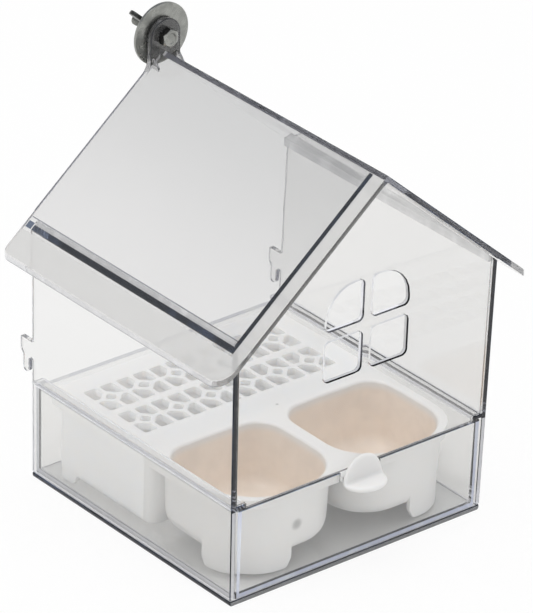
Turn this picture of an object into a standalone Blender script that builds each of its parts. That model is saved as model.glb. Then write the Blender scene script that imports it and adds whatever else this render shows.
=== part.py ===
"""Clear house-shaped feeder that is clamped to the wires of a bird cage.

The house has a floor, two side walls, a front gable with a four-pane window and a two-slope
roof. Its back is open to the cage. A clear drawer slides in under the gable and carries a white
tray with two cups and a lattice grid. A bolt, a wide washer and a wing nut at the back of the
ridge clamp the cage's wires, and a hook on each side wall hangs over a lower wire.

Frame: metres, +Z up, origin at the centre of the floor's underside, +X to the right of someone
who faces the front gable, +Y to the back, where the cage is.
"""

import math

import bmesh
import bpy
from mathutils import Vector

MM = 0.001
DEGREE = math.pi / 180

# Gap between pieces that touch, overlap of shapes that are fused into one piece, how far a cutter
# runs past what it cuts, and how near points are that count as one
SEAM = 0.3 * MM
FUSE = 1.0 * MM
OVERRUN = 2.0 * MM
WELD = 0.003 * MM

# House
HOUSE_DEPTH = 142.4 * MM
HOUSE_BASE_WIDTH = 145.0 * MM
WALL_HEIGHT = 126.5 * MM
WALL_LEAN = 1.13 * DEGREE
PANEL_THICKNESS = 2.5 * MM
FLOOR_THICKNESS = 2.5 * MM
FLOOR_EDGE_RADIUS = 1.8 * MM

# Roof
ROOF_PITCH = 40.3 * DEGREE
ROOF_THICKNESS = 2.5 * MM
EAVE_OVERHANG = 13.3 * MM
FRONT_OVERHANG = 8.7 * MM
BACK_OVERHANG = 4.1 * MM
FRONT_EAVE_RADIUS = 10.0 * MM
BACK_EAVE_RADIUS = 3.5 * MM
LOCATING_RIB_THICKNESS = 1.2 * MM
LOCATING_RIB_DEPTH = 3.0 * MM

# Bolt tab at the back of the ridge
TAB_THICKNESS = 2.5 * MM
TAB_RADIUS = 8.4 * MM
TAB_RISE = 7.2 * MM
TAB_FLARE_RADIUS = 10.0 * MM
TAB_SETBACK = 0.1 * MM
GUSSET_OFFSET = 7.0 * MM
GUSSET_THICKNESS = 1.2 * MM
GUSSET_LENGTH = 5.5 * MM
GUSSET_HEIGHT = 5.0 * MM

# Front gable and its window
GABLE_CLEARANCE = 0.4 * MM
WINDOW_SILL = 48.1 * MM
WINDOW_BAR = 5.2 * MM
PANE_WIDTH = 21.0 * MM
LOWER_PANE_HEIGHT = 19.8 * MM
UPPER_PANE_HEIGHT = 20.2 * MM
PANE_CORNER_RADIUS = 2.6 * MM
WINDOW_ARCH_RADIUS = 16.0 * MM

# Ledge and hook on each side wall
LEDGE_REACH = 5.3 * MM
LEDGE_THICKNESS = 1.9 * MM
LEDGE_CLEARANCE = 0.8 * MM
HOOK_TOP = 70.0 * MM
HOOK_BLOCK_HEIGHT = 9.0 * MM
HOOK_SLOT = 2.6 * MM
HOOK_FINGER_THICKNESS = 4.2 * MM
HOOK_FINGER_DROP = 8.0 * MM
HOOK_NOSE = 1.8 * MM
HOOK_NOSE_RADIUS = 2.4 * MM

# Drawer
DRAWER_HEIGHT = 44.3 * MM
DRAWER_SIDE_THICKNESS = 2.0 * MM
DRAWER_END_THICKNESS = 2.5 * MM
DRAWER_FLOOR_THICKNESS = 2.4 * MM
DRAWER_SIDE_CLEARANCE = 0.55 * MM
DRAWER_BACK_CLEARANCE = 0.2 * MM
DRAWER_CORNER_RADIUS = 1.0 * MM
NOTCH_WIDTH = 22.6 * MM
NOTCH_DEPTH = 5.6 * MM
NOTCH_CORNER_RADIUS = 2.0 * MM

# Tray: deck and skirts
DECK_DROP = 2.1 * MM
DECK_THICKNESS = 2.0 * MM
DECK_SKIRT_DEPTH = 4.6 * MM
DECK_FRONT_RADIUS = 22.5 * MM
DECK_BACK_RADIUS = 7.0 * MM
TRAY_WALL = 2.0 * MM
TRAY_SIDE_CLEARANCE = 2.3 * MM
TRAY_FRONT_CLEARANCE = 1.8 * MM
TRAY_BACK_CLEARANCE = 0.8 * MM

# Tray: cups
CUP_FRONT_RIM = 2.2 * MM
CUP_SIDE_RIM = 4.4 * MM
CUP_BRIDGE = 7.2 * MM
CUP_FLOOR_THICKNESS = 2.0 * MM
CUP_FRONT_RADIUS = 20.0 * MM
CUP_BACK_RADIUS = 11.0 * MM
CUP_SIDE_BULGE = 0.9 * MM
CUP_RIM_RADIUS = 1.4 * MM
CUP_OUTER_BOTTOM_RADIUS = 8.0 * MM
CUP_INNER_BOTTOM_RADIUS = 6.0 * MM
CUP_DRAFT = 2.0 * DEGREE

# Tray: lattice grid that the birds stand on
MIDDLE_STRIP = 18.2 * MM
BACK_STRIP = 11.6 * MM
LATTICE_SIDE_STRIP = 10.2 * MM
LATTICE_COLUMNS = 12
LATTICE_CELL_DEPTH = 9.1 * MM
LATTICE_RIB = 2.2 * MM
LATTICE_DIVIDER = 4.6 * MM
LATTICE_THICKNESS = 3.6 * MM
LATTICE_CORNER_RADIUS = 0.9 * MM
DIAMOND_DIAGONAL = 6.4 * MM
DIAMOND_CORNER_RADIUS = 1.1 * MM

# Tray: chute under the lattice, and the legs
CHUTE_SETBACK = 0.4 * MM
CHUTE_BACK_INSET = 9.0 * MM
CHUTE_OVERLAP = 3.0 * MM
CHUTE_CORNER_RADIUS = 5.0 * MM
LEG_HEIGHT = 5.8 * MM
LEG_THICKNESS = 2.2 * MM
LEG_SETBACK = 0.4 * MM
LEG_STEP = 1.8 * MM
LEG_CORNER_RADIUS = 4.5 * MM
FRONT_LEG_ALONG_FRONT = 28.0 * MM
FRONT_LEG_ALONG_SIDE = 24.0 * MM
BACK_LEG_REACH = 14.0 * MM

# Tray: thumb tongue in front of the drawer
TONGUE_RADIUS = 11.0 * MM
TONGUE_THICKNESS = 2.2 * MM
TONGUE_CENTRE_DROP = 2.4 * MM
TONGUE_FOOT = 3.0 * MM
TONGUE_BRIDGE_THICKNESS = 2.8 * MM
TONGUE_BRIDGE_STEP = 0.4 * MM
TONGUE_BRIDGE_SIDE_GAP = 0.9 * MM
LIP_REACH = 10.0 * MM
LIP_THICKNESS = 3.4 * MM

# Bolt, washer and wing nut, an M5 set
BOLT_DIAMETER = 5.0 * MM
BOLT_LENGTH = 22.5 * MM
BOLT_TIP_CHAMFER = 0.6 * MM
BOLT_HOLE_CLEARANCE = 0.25 * MM
HEAD_ACROSS_FLATS = 8.0 * MM
HEAD_HEIGHT = 3.5 * MM
HEAD_CHAMFER = 0.45 * MM
WASHER_DIAMETER = 30.0 * MM
WASHER_THICKNESS = 1.5 * MM
WASHER_EDGE = 0.25 * MM
NUT_BORE_CLEARANCE = 0.2 * MM
NUT_FOOT_DIAMETER = 11.0 * MM
NUT_NECK_DIAMETER = 8.6 * MM
NUT_HEIGHT = 6.5 * MM
NUT_FOOT_HEIGHT = 1.2 * MM
WING_SPAN = 26.0 * MM
WING_HEIGHT = 12.0 * MM
WING_THICKNESS = 2.0 * MM
WING_TIP_RADIUS = 3.6 * MM
WING_ROOT_STEP = 1.0 * MM
WING_REST_ANGLE = 45.0 * DEGREE

# Shares of the sizes that they follow, and numbers of facets
WING_WAIST_SHARE = 0.62
LIP_SECTION_SHARES = (
    (0.0, 0.74),
    (0.14, 0.88),
    (0.42, 0.98),
    (0.74, 1.0),
    (1.0, 0.95),
    (0.97, 0.87),
    (0.76, 0.66),
    (0.63, 0.38),
)
ARC_STEPS = 6
FINE_ARC_STEPS = 10
SMALL_ARC_STEPS = 2
CUP_CORNER_STEPS = 7
CUP_SIDE_STEPS = 4
BOTTOM_STEPS = 4
RIM_STEPS = 3
ROUND_STEPS = 48
SHANK_STEPS = 24
SMOOTH_ANGLE = 32.0 * DEGREE


# Places worked out from the sizes above

HOUSE_FRONT_Y = -HOUSE_DEPTH / 2
HOUSE_BACK_Y = HOUSE_DEPTH / 2
DRAWER_BOTTOM_Z = FLOOR_THICKNESS + SEAM
DRAWER_TOP_Z = DRAWER_BOTTOM_Z + DRAWER_HEIGHT
DRAWER_FLOOR_TOP_Z = DRAWER_BOTTOM_Z + DRAWER_FLOOR_THICKNESS
DRAWER_BACK_Y = HOUSE_BACK_Y - DRAWER_BACK_CLEARANCE
GABLE_BOTTOM_Z = DRAWER_TOP_Z + GABLE_CLEARANCE
LEDGE_BOTTOM_Z = DRAWER_TOP_Z + LEDGE_CLEARANCE
LEDGE_TOP_Z = LEDGE_BOTTOM_Z + LEDGE_THICKNESS
ROOF_FRONT_Y = HOUSE_FRONT_Y - FRONT_OVERHANG
ROOF_BACK_Y = HOUSE_BACK_Y + BACK_OVERHANG


def wall_outer_x(z):
    """Half width of the house at a height: the side walls lean outwards as they rise."""
    return HOUSE_BASE_WIDTH / 2 + z * math.tan(WALL_LEAN)


def wall_inner_x(z):
    return wall_outer_x(z) - PANEL_THICKNESS


ROOF_SLOPE = math.tan(ROOF_PITCH)
ROOF_UNDER_APEX_Z = WALL_HEIGHT + wall_outer_x(WALL_HEIGHT) * ROOF_SLOPE
ROOF_TOP_APEX_Z = ROOF_UNDER_APEX_Z + ROOF_THICKNESS / math.cos(ROOF_PITCH)
EAVE_X = wall_outer_x(WALL_HEIGHT) + EAVE_OVERHANG


def roof_under_z(x):
    return ROOF_UNDER_APEX_Z - abs(x) * ROOF_SLOPE


def roof_top_z(x):
    return ROOF_TOP_APEX_Z - abs(x) * ROOF_SLOPE


def seated_top(inset):
    """Where a wall's upright face, inset from its outer one, ends just under the roof."""
    seam = SEAM / math.cos(ROOF_PITCH)
    lean = math.tan(WALL_LEAN)
    reach = HOUSE_BASE_WIDTH / 2 - inset + lean * (ROOF_UNDER_APEX_Z - seam)
    x = reach / (1 + lean * ROOF_SLOPE)
    return x, roof_under_z(x) - seam


BOLT_Z = ROOF_TOP_APEX_Z + TAB_RISE
TAB_BACK_Y = ROOF_BACK_Y - TAB_SETBACK
TAB_FRONT_Y = TAB_BACK_Y - TAB_THICKNESS

# The tray follows the inside of the drawer
DECK_TOP_Z = DRAWER_TOP_Z - DECK_DROP
DECK_UNDER_Z = DECK_TOP_Z - DECK_THICKNESS
TRAY_HALF_WIDTH = (
    wall_inner_x(DECK_TOP_Z) - DRAWER_SIDE_CLEARANCE - DRAWER_SIDE_THICKNESS - TRAY_SIDE_CLEARANCE
)
TRAY_FRONT_Y = HOUSE_FRONT_Y + DRAWER_END_THICKNESS + TRAY_FRONT_CLEARANCE
TRAY_BACK_Y = DRAWER_BACK_Y - DRAWER_END_THICKNESS - TRAY_BACK_CLEARANCE
FOOT_Z = DRAWER_FLOOR_TOP_Z + SEAM
CUP_BOTTOM_Z = FOOT_Z + LEG_HEIGHT

# Lattice bands are laid out from the back of the tray, and the cups take what is left in front
BAND_DEPTH = 2 * LATTICE_CELL_DEPTH + LATTICE_RIB
BACK_BAND_Y = TRAY_BACK_Y - BACK_STRIP - BAND_DEPTH / 2
FRONT_BAND_Y = BACK_BAND_Y - BAND_DEPTH - LATTICE_DIVIDER
LATTICE_HALF_WIDTH = TRAY_HALF_WIDTH - LATTICE_SIDE_STRIP
COLUMN_PITCH = 2 * LATTICE_HALF_WIDTH / LATTICE_COLUMNS
LATTICE_FRONT_Y = FRONT_BAND_Y - BAND_DEPTH / 2
LATTICE_BACK_Y = BACK_BAND_Y + BAND_DEPTH / 2
CUP_FRONT_Y = TRAY_FRONT_Y + CUP_FRONT_RIM
CUP_BACK_Y = LATTICE_FRONT_Y - MIDDLE_STRIP
CUP_HALF_DEPTH = (CUP_BACK_Y - CUP_FRONT_Y) / 2
CUP_HALF_WIDTH = (TRAY_HALF_WIDTH - CUP_SIDE_RIM - CUP_BRIDGE / 2) / 2
CUP_CENTRE_X = CUP_BRIDGE / 2 + CUP_HALF_WIDTH
CUP_CENTRE_Y = (CUP_FRONT_Y + CUP_BACK_Y) / 2


# Outlines


def arc(centre, radius, start, end, steps):
    """Points of an arc from one angle to another, both ends included."""
    points = []
    for step in range(steps + 1):
        angle = start + (end - start) * step / steps
        points.append((centre[0] + radius * math.cos(angle), centre[1] + radius * math.sin(angle)))
    return points


def rounded(corners, radii, steps):
    """A closed outline with a round of its own radius at each corner."""
    outline = []
    count = len(corners)
    for index, (corner, radius) in enumerate(zip(corners, radii)):
        here = Vector(corner)
        back = Vector(corners[index - 1]) - here
        ahead = Vector(corners[(index + 1) % count]) - here
        if radius == 0:
            outline.append(tuple(here))
            continue
        half_angle = back.angle(ahead) / 2
        setback = radius / math.tan(half_angle)
        setback = min(setback, back.length / 2, ahead.length / 2)
        radius = setback * math.tan(half_angle)
        middle = (back.normalized() + ahead.normalized()).normalized()
        centre = here + middle * (radius / math.sin(half_angle))
        first = here + back.normalized() * setback - centre
        last = here + ahead.normalized() * setback - centre
        start = math.atan2(first.y, first.x)
        sweep = math.atan2(last.y, last.x) - start
        if sweep > math.pi:
            sweep -= 2 * math.pi
        if sweep < -math.pi:
            sweep += 2 * math.pi
        outline += arc(centre, radius, start, start + sweep, steps)
    return outline


def split(point, after, share):
    """A point part of the way from one point to another."""
    return tuple(a + (b - a) * share for a, b in zip(point, after))


def rectangle(half_width, front, back, radii, steps):
    """A rounded rectangle about X = 0, its corners from front left, anticlockwise."""
    corners = ((-half_width, front), (half_width, front), (half_width, back), (-half_width, back))
    return rounded(corners, radii, steps)


# Meshes


def finished(bm):
    bmesh.ops.recalc_face_normals(bm, faces=bm.faces)
    return bm


def loft(loops):
    """A closed solid through loops of equally many points, with a flat cap at each end."""
    bm = bmesh.new()
    rings = [[bm.verts.new(point) for point in loop] for loop in loops]
    bm.faces.new(reversed(rings[0]))
    bm.faces.new(rings[-1])
    for lower, upper in zip(rings, rings[1:]):
        for index in range(len(lower)):
            after = (index + 1) % len(lower)
            bm.faces.new((lower[index], lower[after], upper[after], upper[index]))
    return finished(bm)


def prism(outline, axis, low, high):
    """An outline swept along one axis; its two numbers are the other axes' values in order."""
    place = {
        "X": lambda point, level: (level, point[0], point[1]),
        "Y": lambda point, level: (point[0], level, point[1]),
        "Z": lambda point, level: (point[0], point[1], level),
    }[axis]
    return loft([[place(point, level) for point in outline] for level in (low, high)])


def revolve(profile, steps):
    """A closed profile of (radius, height) points turned about the local Z axis."""
    bm = bmesh.new()
    points = [bm.verts.new((radius, 0, height)) for radius, height in profile]
    edges = []
    for index, (radius, _) in enumerate(profile):
        if radius > 0 or profile[index - 1][0] > 0:
            edges.append(bm.edges.new((points[index - 1], points[index])))
    bmesh.ops.spin(
        bm,
        geom=points + edges,
        cent=(0, 0, 0),
        axis=(0, 0, 1),
        angle=2 * math.pi,
        steps=steps,
        use_merge=True,
    )
    bmesh.ops.remove_doubles(bm, verts=bm.verts, dist=WELD / 10)
    return finished(bm)


def gathered(parts):
    """Several closed shapes in one mesh."""
    mesh = bpy.data.meshes.new("gathered")
    bm = bmesh.new()
    for part in parts:
        part.to_mesh(mesh)
        bm.from_mesh(mesh)
        part.free()
    bpy.data.meshes.remove(mesh)
    return bm


# Objects


def plastic(name, colour, roughness, transmission):
    material = bpy.data.materials.new(name)
    material.use_nodes = True
    shader = material.node_tree.nodes["Principled BSDF"]
    shader.inputs["Base Color"].default_value = (*colour, 1)
    shader.inputs["Roughness"].default_value = roughness
    shader.inputs["Transmission Weight"].default_value = transmission
    shader.inputs["Metallic"].default_value = 0
    return material


def steel(name, colour, roughness):
    material = plastic(name, colour, roughness, 0)
    material.node_tree.nodes["Principled BSDF"].inputs["Metallic"].default_value = 1
    return material


def made(name, bm, parent):
    mesh = bpy.data.meshes.new(name)
    bm.to_mesh(mesh)
    bm.free()
    thing = bpy.data.objects.new(name, mesh)
    bpy.context.scene.collection.objects.link(thing)
    thing.parent = parent
    return thing


def piece(name, bm, parent, material):
    thing = made(name, bm, parent)
    thing.data.materials.append(material)
    thing.data.shade_smooth()
    thing.data.set_sharp_from_angle(angle=SMOOTH_ANGLE)
    return thing


def tool(name, bm, parent):
    thing = made(name, bm, parent)
    thing.hide_render = True
    thing.display_type = "WIRE"
    return thing


def combine(target, helper, operation):
    step = target.modifiers.new(helper.name, "BOOLEAN")
    step.operation = operation
    step.solver = "EXACT"
    step.object = helper


def fuse(target, name, bm):
    combine(target, tool(name, bm, target.parent), "UNION")


def cut(target, name, bm):
    combine(target, tool(name, bm, target.parent), "DIFFERENCE")


def anchor(name, place, parent=None):
    empty = bpy.data.objects.new(name, None)
    bpy.context.scene.collection.objects.link(empty)
    empty.location = place
    empty.parent = parent
    return empty


# House


def floor_panel(house):
    """Flat floor whose long edges are rounded underneath, as the house's lower corners are."""
    half = HOUSE_BASE_WIDTH / 2
    radii = (FLOOR_EDGE_RADIUS, FLOOR_EDGE_RADIUS, 0, 0)
    outline = rectangle(half, 0, FLOOR_THICKNESS, radii, ARC_STEPS)
    material = plastic("floor_panel", (0.86, 0.87, 0.88), 0.06, 0.9)
    piece("floor_panel", prism(outline, "Y", HOUSE_FRONT_Y, HOUSE_BACK_Y), house, material)


def wall_point(y, z, inset, side):
    """A point of a side wall; its top edge is bevelled to the roof's slope."""
    z = min(z, seated_top(inset)[1])
    return side * (wall_outer_x(z) - inset), y, z


def hook_outline():
    """The wall's edge seen from the side, with the hook that hangs over a wire of the cage."""
    block_bottom = HOOK_TOP - HOOK_BLOCK_HEIGHT
    finger_inner = HOUSE_BACK_Y + HOOK_SLOT
    finger_outer = finger_inner + HOOK_FINGER_THICKNESS
    nose = finger_outer + HOOK_NOSE
    finger_end = block_bottom - HOOK_FINGER_DROP
    finger_radius = HOOK_FINGER_THICKNESS / 2
    bottom = FLOOR_THICKNESS + SEAM
    top = ROOF_UNDER_APEX_Z
    corners = (
        (HOUSE_FRONT_Y, bottom),
        (HOUSE_BACK_Y, bottom),
        (HOUSE_BACK_Y, block_bottom),
        (finger_inner, block_bottom),
        (finger_inner, finger_end),
        (finger_outer, finger_end),
        (finger_outer, block_bottom),
        (nose, block_bottom + HOOK_NOSE_RADIUS),
        (nose, HOOK_TOP),
        (HOUSE_BACK_Y, HOOK_TOP),
        (HOUSE_BACK_Y, top),
        (HOUSE_FRONT_Y, top),
    )
    slot_radius = HOOK_SLOT / 2
    radii = (
        0,
        0,
        slot_radius,
        slot_radius,
        finger_radius,
        finger_radius,
        0,
        HOOK_NOSE_RADIUS,
        FLOOR_EDGE_RADIUS / 2,
        0,
        0,
        0,
    )
    return rounded(corners, radii, ARC_STEPS)


def side_wall(name, house, side):
    """Leaning side wall with its hook, and the ledge that keeps the drawer down."""
    outline = hook_outline()
    faces = [[wall_point(y, z, inset, side) for y, z in outline] for inset in (0, PANEL_THICKNESS)]
    material = plastic(name, (0.88, 0.89, 0.9), 0.05, 0.92)
    wall = piece(name, loft(faces), house, material)
    inner = wall_inner_x(LEDGE_BOTTOM_Z)
    ledge = (
        (side * (inner - LEDGE_REACH), LEDGE_BOTTOM_Z),
        (side * (inner + FUSE), LEDGE_BOTTOM_Z),
        (side * (inner + FUSE), LEDGE_TOP_Z),
        (side * (inner - LEDGE_REACH), LEDGE_TOP_Z),
    )
    fuse(wall, name + "_ledge", prism(ledge, "Y", HOUSE_FRONT_Y, HOUSE_BACK_Y))


def window_panes():
    """Four panes: the two upper ones share a round top."""
    sill = GABLE_BOTTOM_Z + WINDOW_SILL
    bar = WINDOW_BAR / 2
    upper = sill + LOWER_PANE_HEIGHT + WINDOW_BAR
    small = PANE_CORNER_RADIUS
    arch = min(WINDOW_ARCH_RADIUS, PANE_WIDTH - small, UPPER_PANE_HEIGHT - small)
    parts = []
    for side in (-1, 1):
        inner = side * bar
        outer = side * (bar + PANE_WIDTH)
        for low, height, top_radius in (
            (sill, LOWER_PANE_HEIGHT, small),
            (upper, UPPER_PANE_HEIGHT, arch),
        ):
            high = low + height
            corners = ((inner, low), (outer, low), (outer, high), (inner, high))
            radii = (small, small, top_radius, small)
            outline = pane_outline(corners, radii)
            front = HOUSE_FRONT_Y - OVERRUN
            back = HOUSE_FRONT_Y + PANEL_THICKNESS + OVERRUN
            parts.append(prism(outline, "Y", front, back))
    return gathered(parts)


def pane_outline(corners, radii):
    """A pane's outline. The large round may take more than half of its sides."""
    outline = []
    for index, (corner, radius) in enumerate(zip(corners, radii)):
        before = corners[index - 1]
        after = corners[(index + 1) % len(corners)]
        towards = [
            math.copysign(radius, other[axis] - corner[axis]) if other[axis] != corner[axis] else 0
            for other in (before, after)
            for axis in (0, 1)
        ]
        centre = (corner[0] + towards[0] + towards[2], corner[1] + towards[1] + towards[3])
        start = math.atan2(-towards[3], -towards[2])
        end = math.atan2(-towards[1], -towards[0])
        sweep = (end - start + math.pi) % (2 * math.pi) - math.pi
        outline += arc(centre, radius, start, start + sweep, ARC_STEPS)
    return outline


def front_gable(house):
    """Front panel between the walls, from just above the drawer to the roof."""
    step_z = LEDGE_TOP_Z + SEAM
    step_x = wall_inner_x(LEDGE_BOTTOM_Z) - LEDGE_REACH - SEAM
    eave_x, eave_z = seated_top(PANEL_THICKNESS + SEAM)
    apex_z = ROOF_UNDER_APEX_Z - SEAM / math.cos(ROOF_PITCH)
    half = (
        (step_x, GABLE_BOTTOM_Z),
        (step_x, step_z),
        (wall_inner_x(step_z) - SEAM, step_z),
        (eave_x, eave_z),
    )
    outline = [*half, (0, apex_z), *((-x, z) for x, z in reversed(half))]
    material = plastic("front_gable", (0.88, 0.88, 0.88), 0.05, 0.92)
    back = HOUSE_FRONT_Y + PANEL_THICKNESS
    gable = piece("front_gable", prism(outline, "Y", HOUSE_FRONT_Y, back), house, material)
    cut(gable, "window_panes", window_panes())


def roof_slopes():
    """Both slopes in one closed mesh, with round corners at the eaves."""
    ratio = math.cos(ROOF_PITCH)

    def corner(y, inward, radius, start):
        centre = (EAVE_X - radius * ratio, y + inward * radius)
        turn = arc((0, 0), radius, start, start + math.pi / 2, ARC_STEPS)
        return [(centre[0] + x * ratio, centre[1] + up) for x, up in turn]

    right = corner(ROOF_FRONT_Y, 1, FRONT_EAVE_RADIUS, -math.pi / 2)
    right += corner(ROOF_BACK_Y, -1, BACK_EAVE_RADIUS, 0)
    left = [(-x, y) for x, y in reversed(right)]
    bm = bmesh.new()

    def lifted(points, height):
        return [bm.verts.new((x, y, height(x))) for x, y in points]

    rings = []
    for height in (roof_top_z, roof_under_z):
        front, back = lifted(((0, ROOF_FRONT_Y), (0, ROOF_BACK_Y)), height)
        right_edge = lifted(right, height)
        left_edge = lifted(left, height)
        bm.faces.new((front, *right_edge, back))
        bm.faces.new((back, *left_edge, front))
        rings.append([front, *right_edge, back, *left_edge])
    top, under = rings
    for index in range(len(top)):
        bm.faces.new((top[index - 1], top[index], under[index], under[index - 1]))
    return finished(bm)


def locating_rib(side):
    """Thin rib under a slope, just inside the side wall, which centres the roof."""
    wall_x = seated_top(PANEL_THICKNESS)[0] - SEAM
    inner_x = wall_x - LOCATING_RIB_THICKNESS
    outline = (
        (side * wall_x, roof_under_z(wall_x) - LOCATING_RIB_DEPTH),
        (side * wall_x, roof_under_z(wall_x) + FUSE),
        (side * inner_x, roof_under_z(inner_x) + FUSE),
        (side * inner_x, roof_under_z(wall_x) - LOCATING_RIB_DEPTH),
    )
    front = HOUSE_FRONT_Y + PANEL_THICKNESS + SEAM
    return prism([leaned(point, wall_x, side) for point in outline], "Y", front, HOUSE_BACK_Y)


def leaned(point, wall_x, side):
    """Shifts a rib's point so that the rib leans as the wall beside it does."""
    drop = roof_under_z(wall_x) - point[1]
    return point[0] - side * max(drop, 0) * math.tan(WALL_LEAN), point[1]


def bolt_tab():
    """Round-topped plate whose foot flares out into the two slopes."""
    flare_x = TAB_RADIUS + TAB_FLARE_RADIUS
    flare_z = roof_top_z(flare_x) + TAB_FLARE_RADIUS / math.cos(ROOF_PITCH)
    foot = arc((flare_x, flare_z), TAB_FLARE_RADIUS, 1.5 * math.pi - ROOF_PITCH, math.pi, ARC_STEPS)
    foot_x, foot_z = foot[0]
    right = [(foot_x, foot_z - FUSE), *foot]
    crown = arc((0, BOLT_Z), TAB_RADIUS, 0, math.pi, 2 * FINE_ARC_STEPS)
    left = [(-x, z) for x, z in reversed(right)]
    outline = [*right, *crown, *left, (0, ROOF_TOP_APEX_Z - FUSE)]
    return prism(outline, "Y", TAB_FRONT_Y, TAB_BACK_Y)


def tab_gusset(side):
    """Small triangular rib that props the tab's foot from the front."""
    middle = side * GUSSET_OFFSET
    half = GUSSET_THICKNESS / 2
    foot = roof_top_z(GUSSET_OFFSET + half) - FUSE / 2
    outline = (
        (TAB_FRONT_Y - GUSSET_LENGTH, foot),
        (TAB_FRONT_Y + FUSE, foot),
        (TAB_FRONT_Y + FUSE, foot + GUSSET_HEIGHT),
        (TAB_FRONT_Y - FUSE, foot + GUSSET_HEIGHT),
    )
    return prism(outline, "X", middle - half, middle + half)


def roof(house):
    material = plastic("roof", (0.83, 0.84, 0.85), 0.06, 0.9)
    cover = piece("roof", roof_slopes(), house, material)
    for side, hand in ((-1, "left"), (1, "right")):
        fuse(cover, hand + "_locating_rib", locating_rib(side))
    fuse(cover, "bolt_tab", bolt_tab())
    for side, hand in ((-1, "left"), (1, "right")):
        fuse(cover, hand + "_tab_gusset", tab_gusset(side))
    radius = BOLT_DIAMETER / 2 + BOLT_HOLE_CLEARANCE
    hole = arc((0, BOLT_Z), radius, 0, 2 * math.pi, SHANK_STEPS)[:-1]
    cut(cover, "bolt_hole", prism(hole, "Y", TAB_FRONT_Y - OVERRUN, TAB_BACK_Y + OVERRUN))


# Drawer


def drawer(runner):
    """Clear box that leans with the house's walls, with a notch for the tray's tongue."""

    def section(z, inset, end_inset, radius):
        half = wall_inner_x(z) - DRAWER_SIDE_CLEARANCE - inset
        radii = (radius,) * 4
        front = HOUSE_FRONT_Y + end_inset
        outline = rectangle(half, front, DRAWER_BACK_Y - end_inset, radii, SMALL_ARC_STEPS)
        return [(x, y, z - DRAWER_BOTTOM_Z) for x, y in outline]

    thickness = DRAWER_SIDE_THICKNESS
    end = DRAWER_END_THICKNESS
    radius = DRAWER_CORNER_RADIUS
    box = loft(
        [
            section(DRAWER_BOTTOM_Z, 0, 0, radius),
            section(DRAWER_TOP_Z, 0, 0, radius),
            section(DRAWER_TOP_Z, thickness, end, radius),
            section(DRAWER_FLOOR_TOP_Z, thickness, end, radius),
        ]
    )
    material = plastic("drawer", (0.87, 0.88, 0.9), 0.05, 0.92)
    thing = piece("drawer", box, runner, material)
    half = NOTCH_WIDTH / 2
    top = DRAWER_TOP_Z + OVERRUN - DRAWER_BOTTOM_Z
    bottom = DRAWER_TOP_Z - NOTCH_DEPTH - DRAWER_BOTTOM_Z
    radii = (NOTCH_CORNER_RADIUS, NOTCH_CORNER_RADIUS, 0, 0)
    outline = rectangle(half, bottom, top, radii, ARC_STEPS)
    front = HOUSE_FRONT_Y - OVERRUN
    back = HOUSE_FRONT_Y + DRAWER_END_THICKNESS + OVERRUN
    cut(thing, "tongue_notch", prism(outline, "Y", front, back))


# Tray


def cup_outline(grow, corner_steps=CUP_CORNER_STEPS):
    """A cup's outline about its own centre: large front corners, and sides that bulge a little."""
    width = CUP_HALF_WIDTH + grow - CUP_SIDE_BULGE
    depth = CUP_HALF_DEPTH + grow - CUP_SIDE_BULGE
    front = CUP_FRONT_RADIUS + grow
    back = CUP_BACK_RADIUS + grow
    corners = ((-width, -depth), (width, -depth), (width, depth), (-width, depth))
    radii = (front, front, back, back)
    plain = rounded(corners, radii, corner_steps)
    outline = []
    for index, point in enumerate(plain):
        outline.append(point)
        if index % (corner_steps + 1) == corner_steps:
            after = plain[(index + 1) % len(plain)]
            outline += [split(point, after, step / CUP_SIDE_STEPS) for step in range(1, CUP_SIDE_STEPS)]
    return [bulged(x, y, width, depth) for x, y in outline]


def bulged(x, y, width, depth):
    wide = 1 + CUP_SIDE_BULGE / width * (1 - (y / depth) ** 2)
    deep = 1 + CUP_SIDE_BULGE / depth * (1 - (x / width) ** 2)
    return x * wide, y * deep


def cup_section(side, grow, z):
    """A loop of a cup at a height; the cup narrows downwards by its draft."""
    grow -= (DECK_TOP_Z - z) * math.tan(CUP_DRAFT)
    middle = side * CUP_CENTRE_X
    return [(middle + side * x, CUP_CENTRE_Y + y, z) for x, y in cup_outline(grow)]


def bottom_sections(side, grow, bottom, radius):
    """Loops up a cup's round lower edge."""
    sections = []
    for step in range(BOTTOM_STEPS + 1):
        angle = math.pi / 2 * step / BOTTOM_STEPS
        inset = radius * (1 - math.sin(angle))
        sections.append(cup_section(side, grow - inset, bottom + radius * (1 - math.cos(angle))))
    return sections


def cup_body(side):
    sections = bottom_sections(side, TRAY_WALL, CUP_BOTTOM_Z, CUP_OUTER_BOTTOM_RADIUS)
    sections.append(cup_section(side, TRAY_WALL, DECK_TOP_Z - DECK_THICKNESS / 2))
    return loft(sections)


def cup_hollow(side):
    floor = CUP_BOTTOM_Z + CUP_FLOOR_THICKNESS
    sections = bottom_sections(side, 0, floor, CUP_INNER_BOTTOM_RADIUS)
    for step in range(RIM_STEPS + 1):
        angle = math.pi / 2 * step / RIM_STEPS
        grow = CUP_RIM_RADIUS * (1 - math.cos(angle))
        rise = CUP_RIM_RADIUS * (1 - math.sin(angle))
        sections.append(cup_section(side, grow, DECK_TOP_Z - rise))
    above = [(x, y, z + OVERRUN) for x, y, z in sections[-1]]
    sections.append(above)
    return loft(sections)


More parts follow.
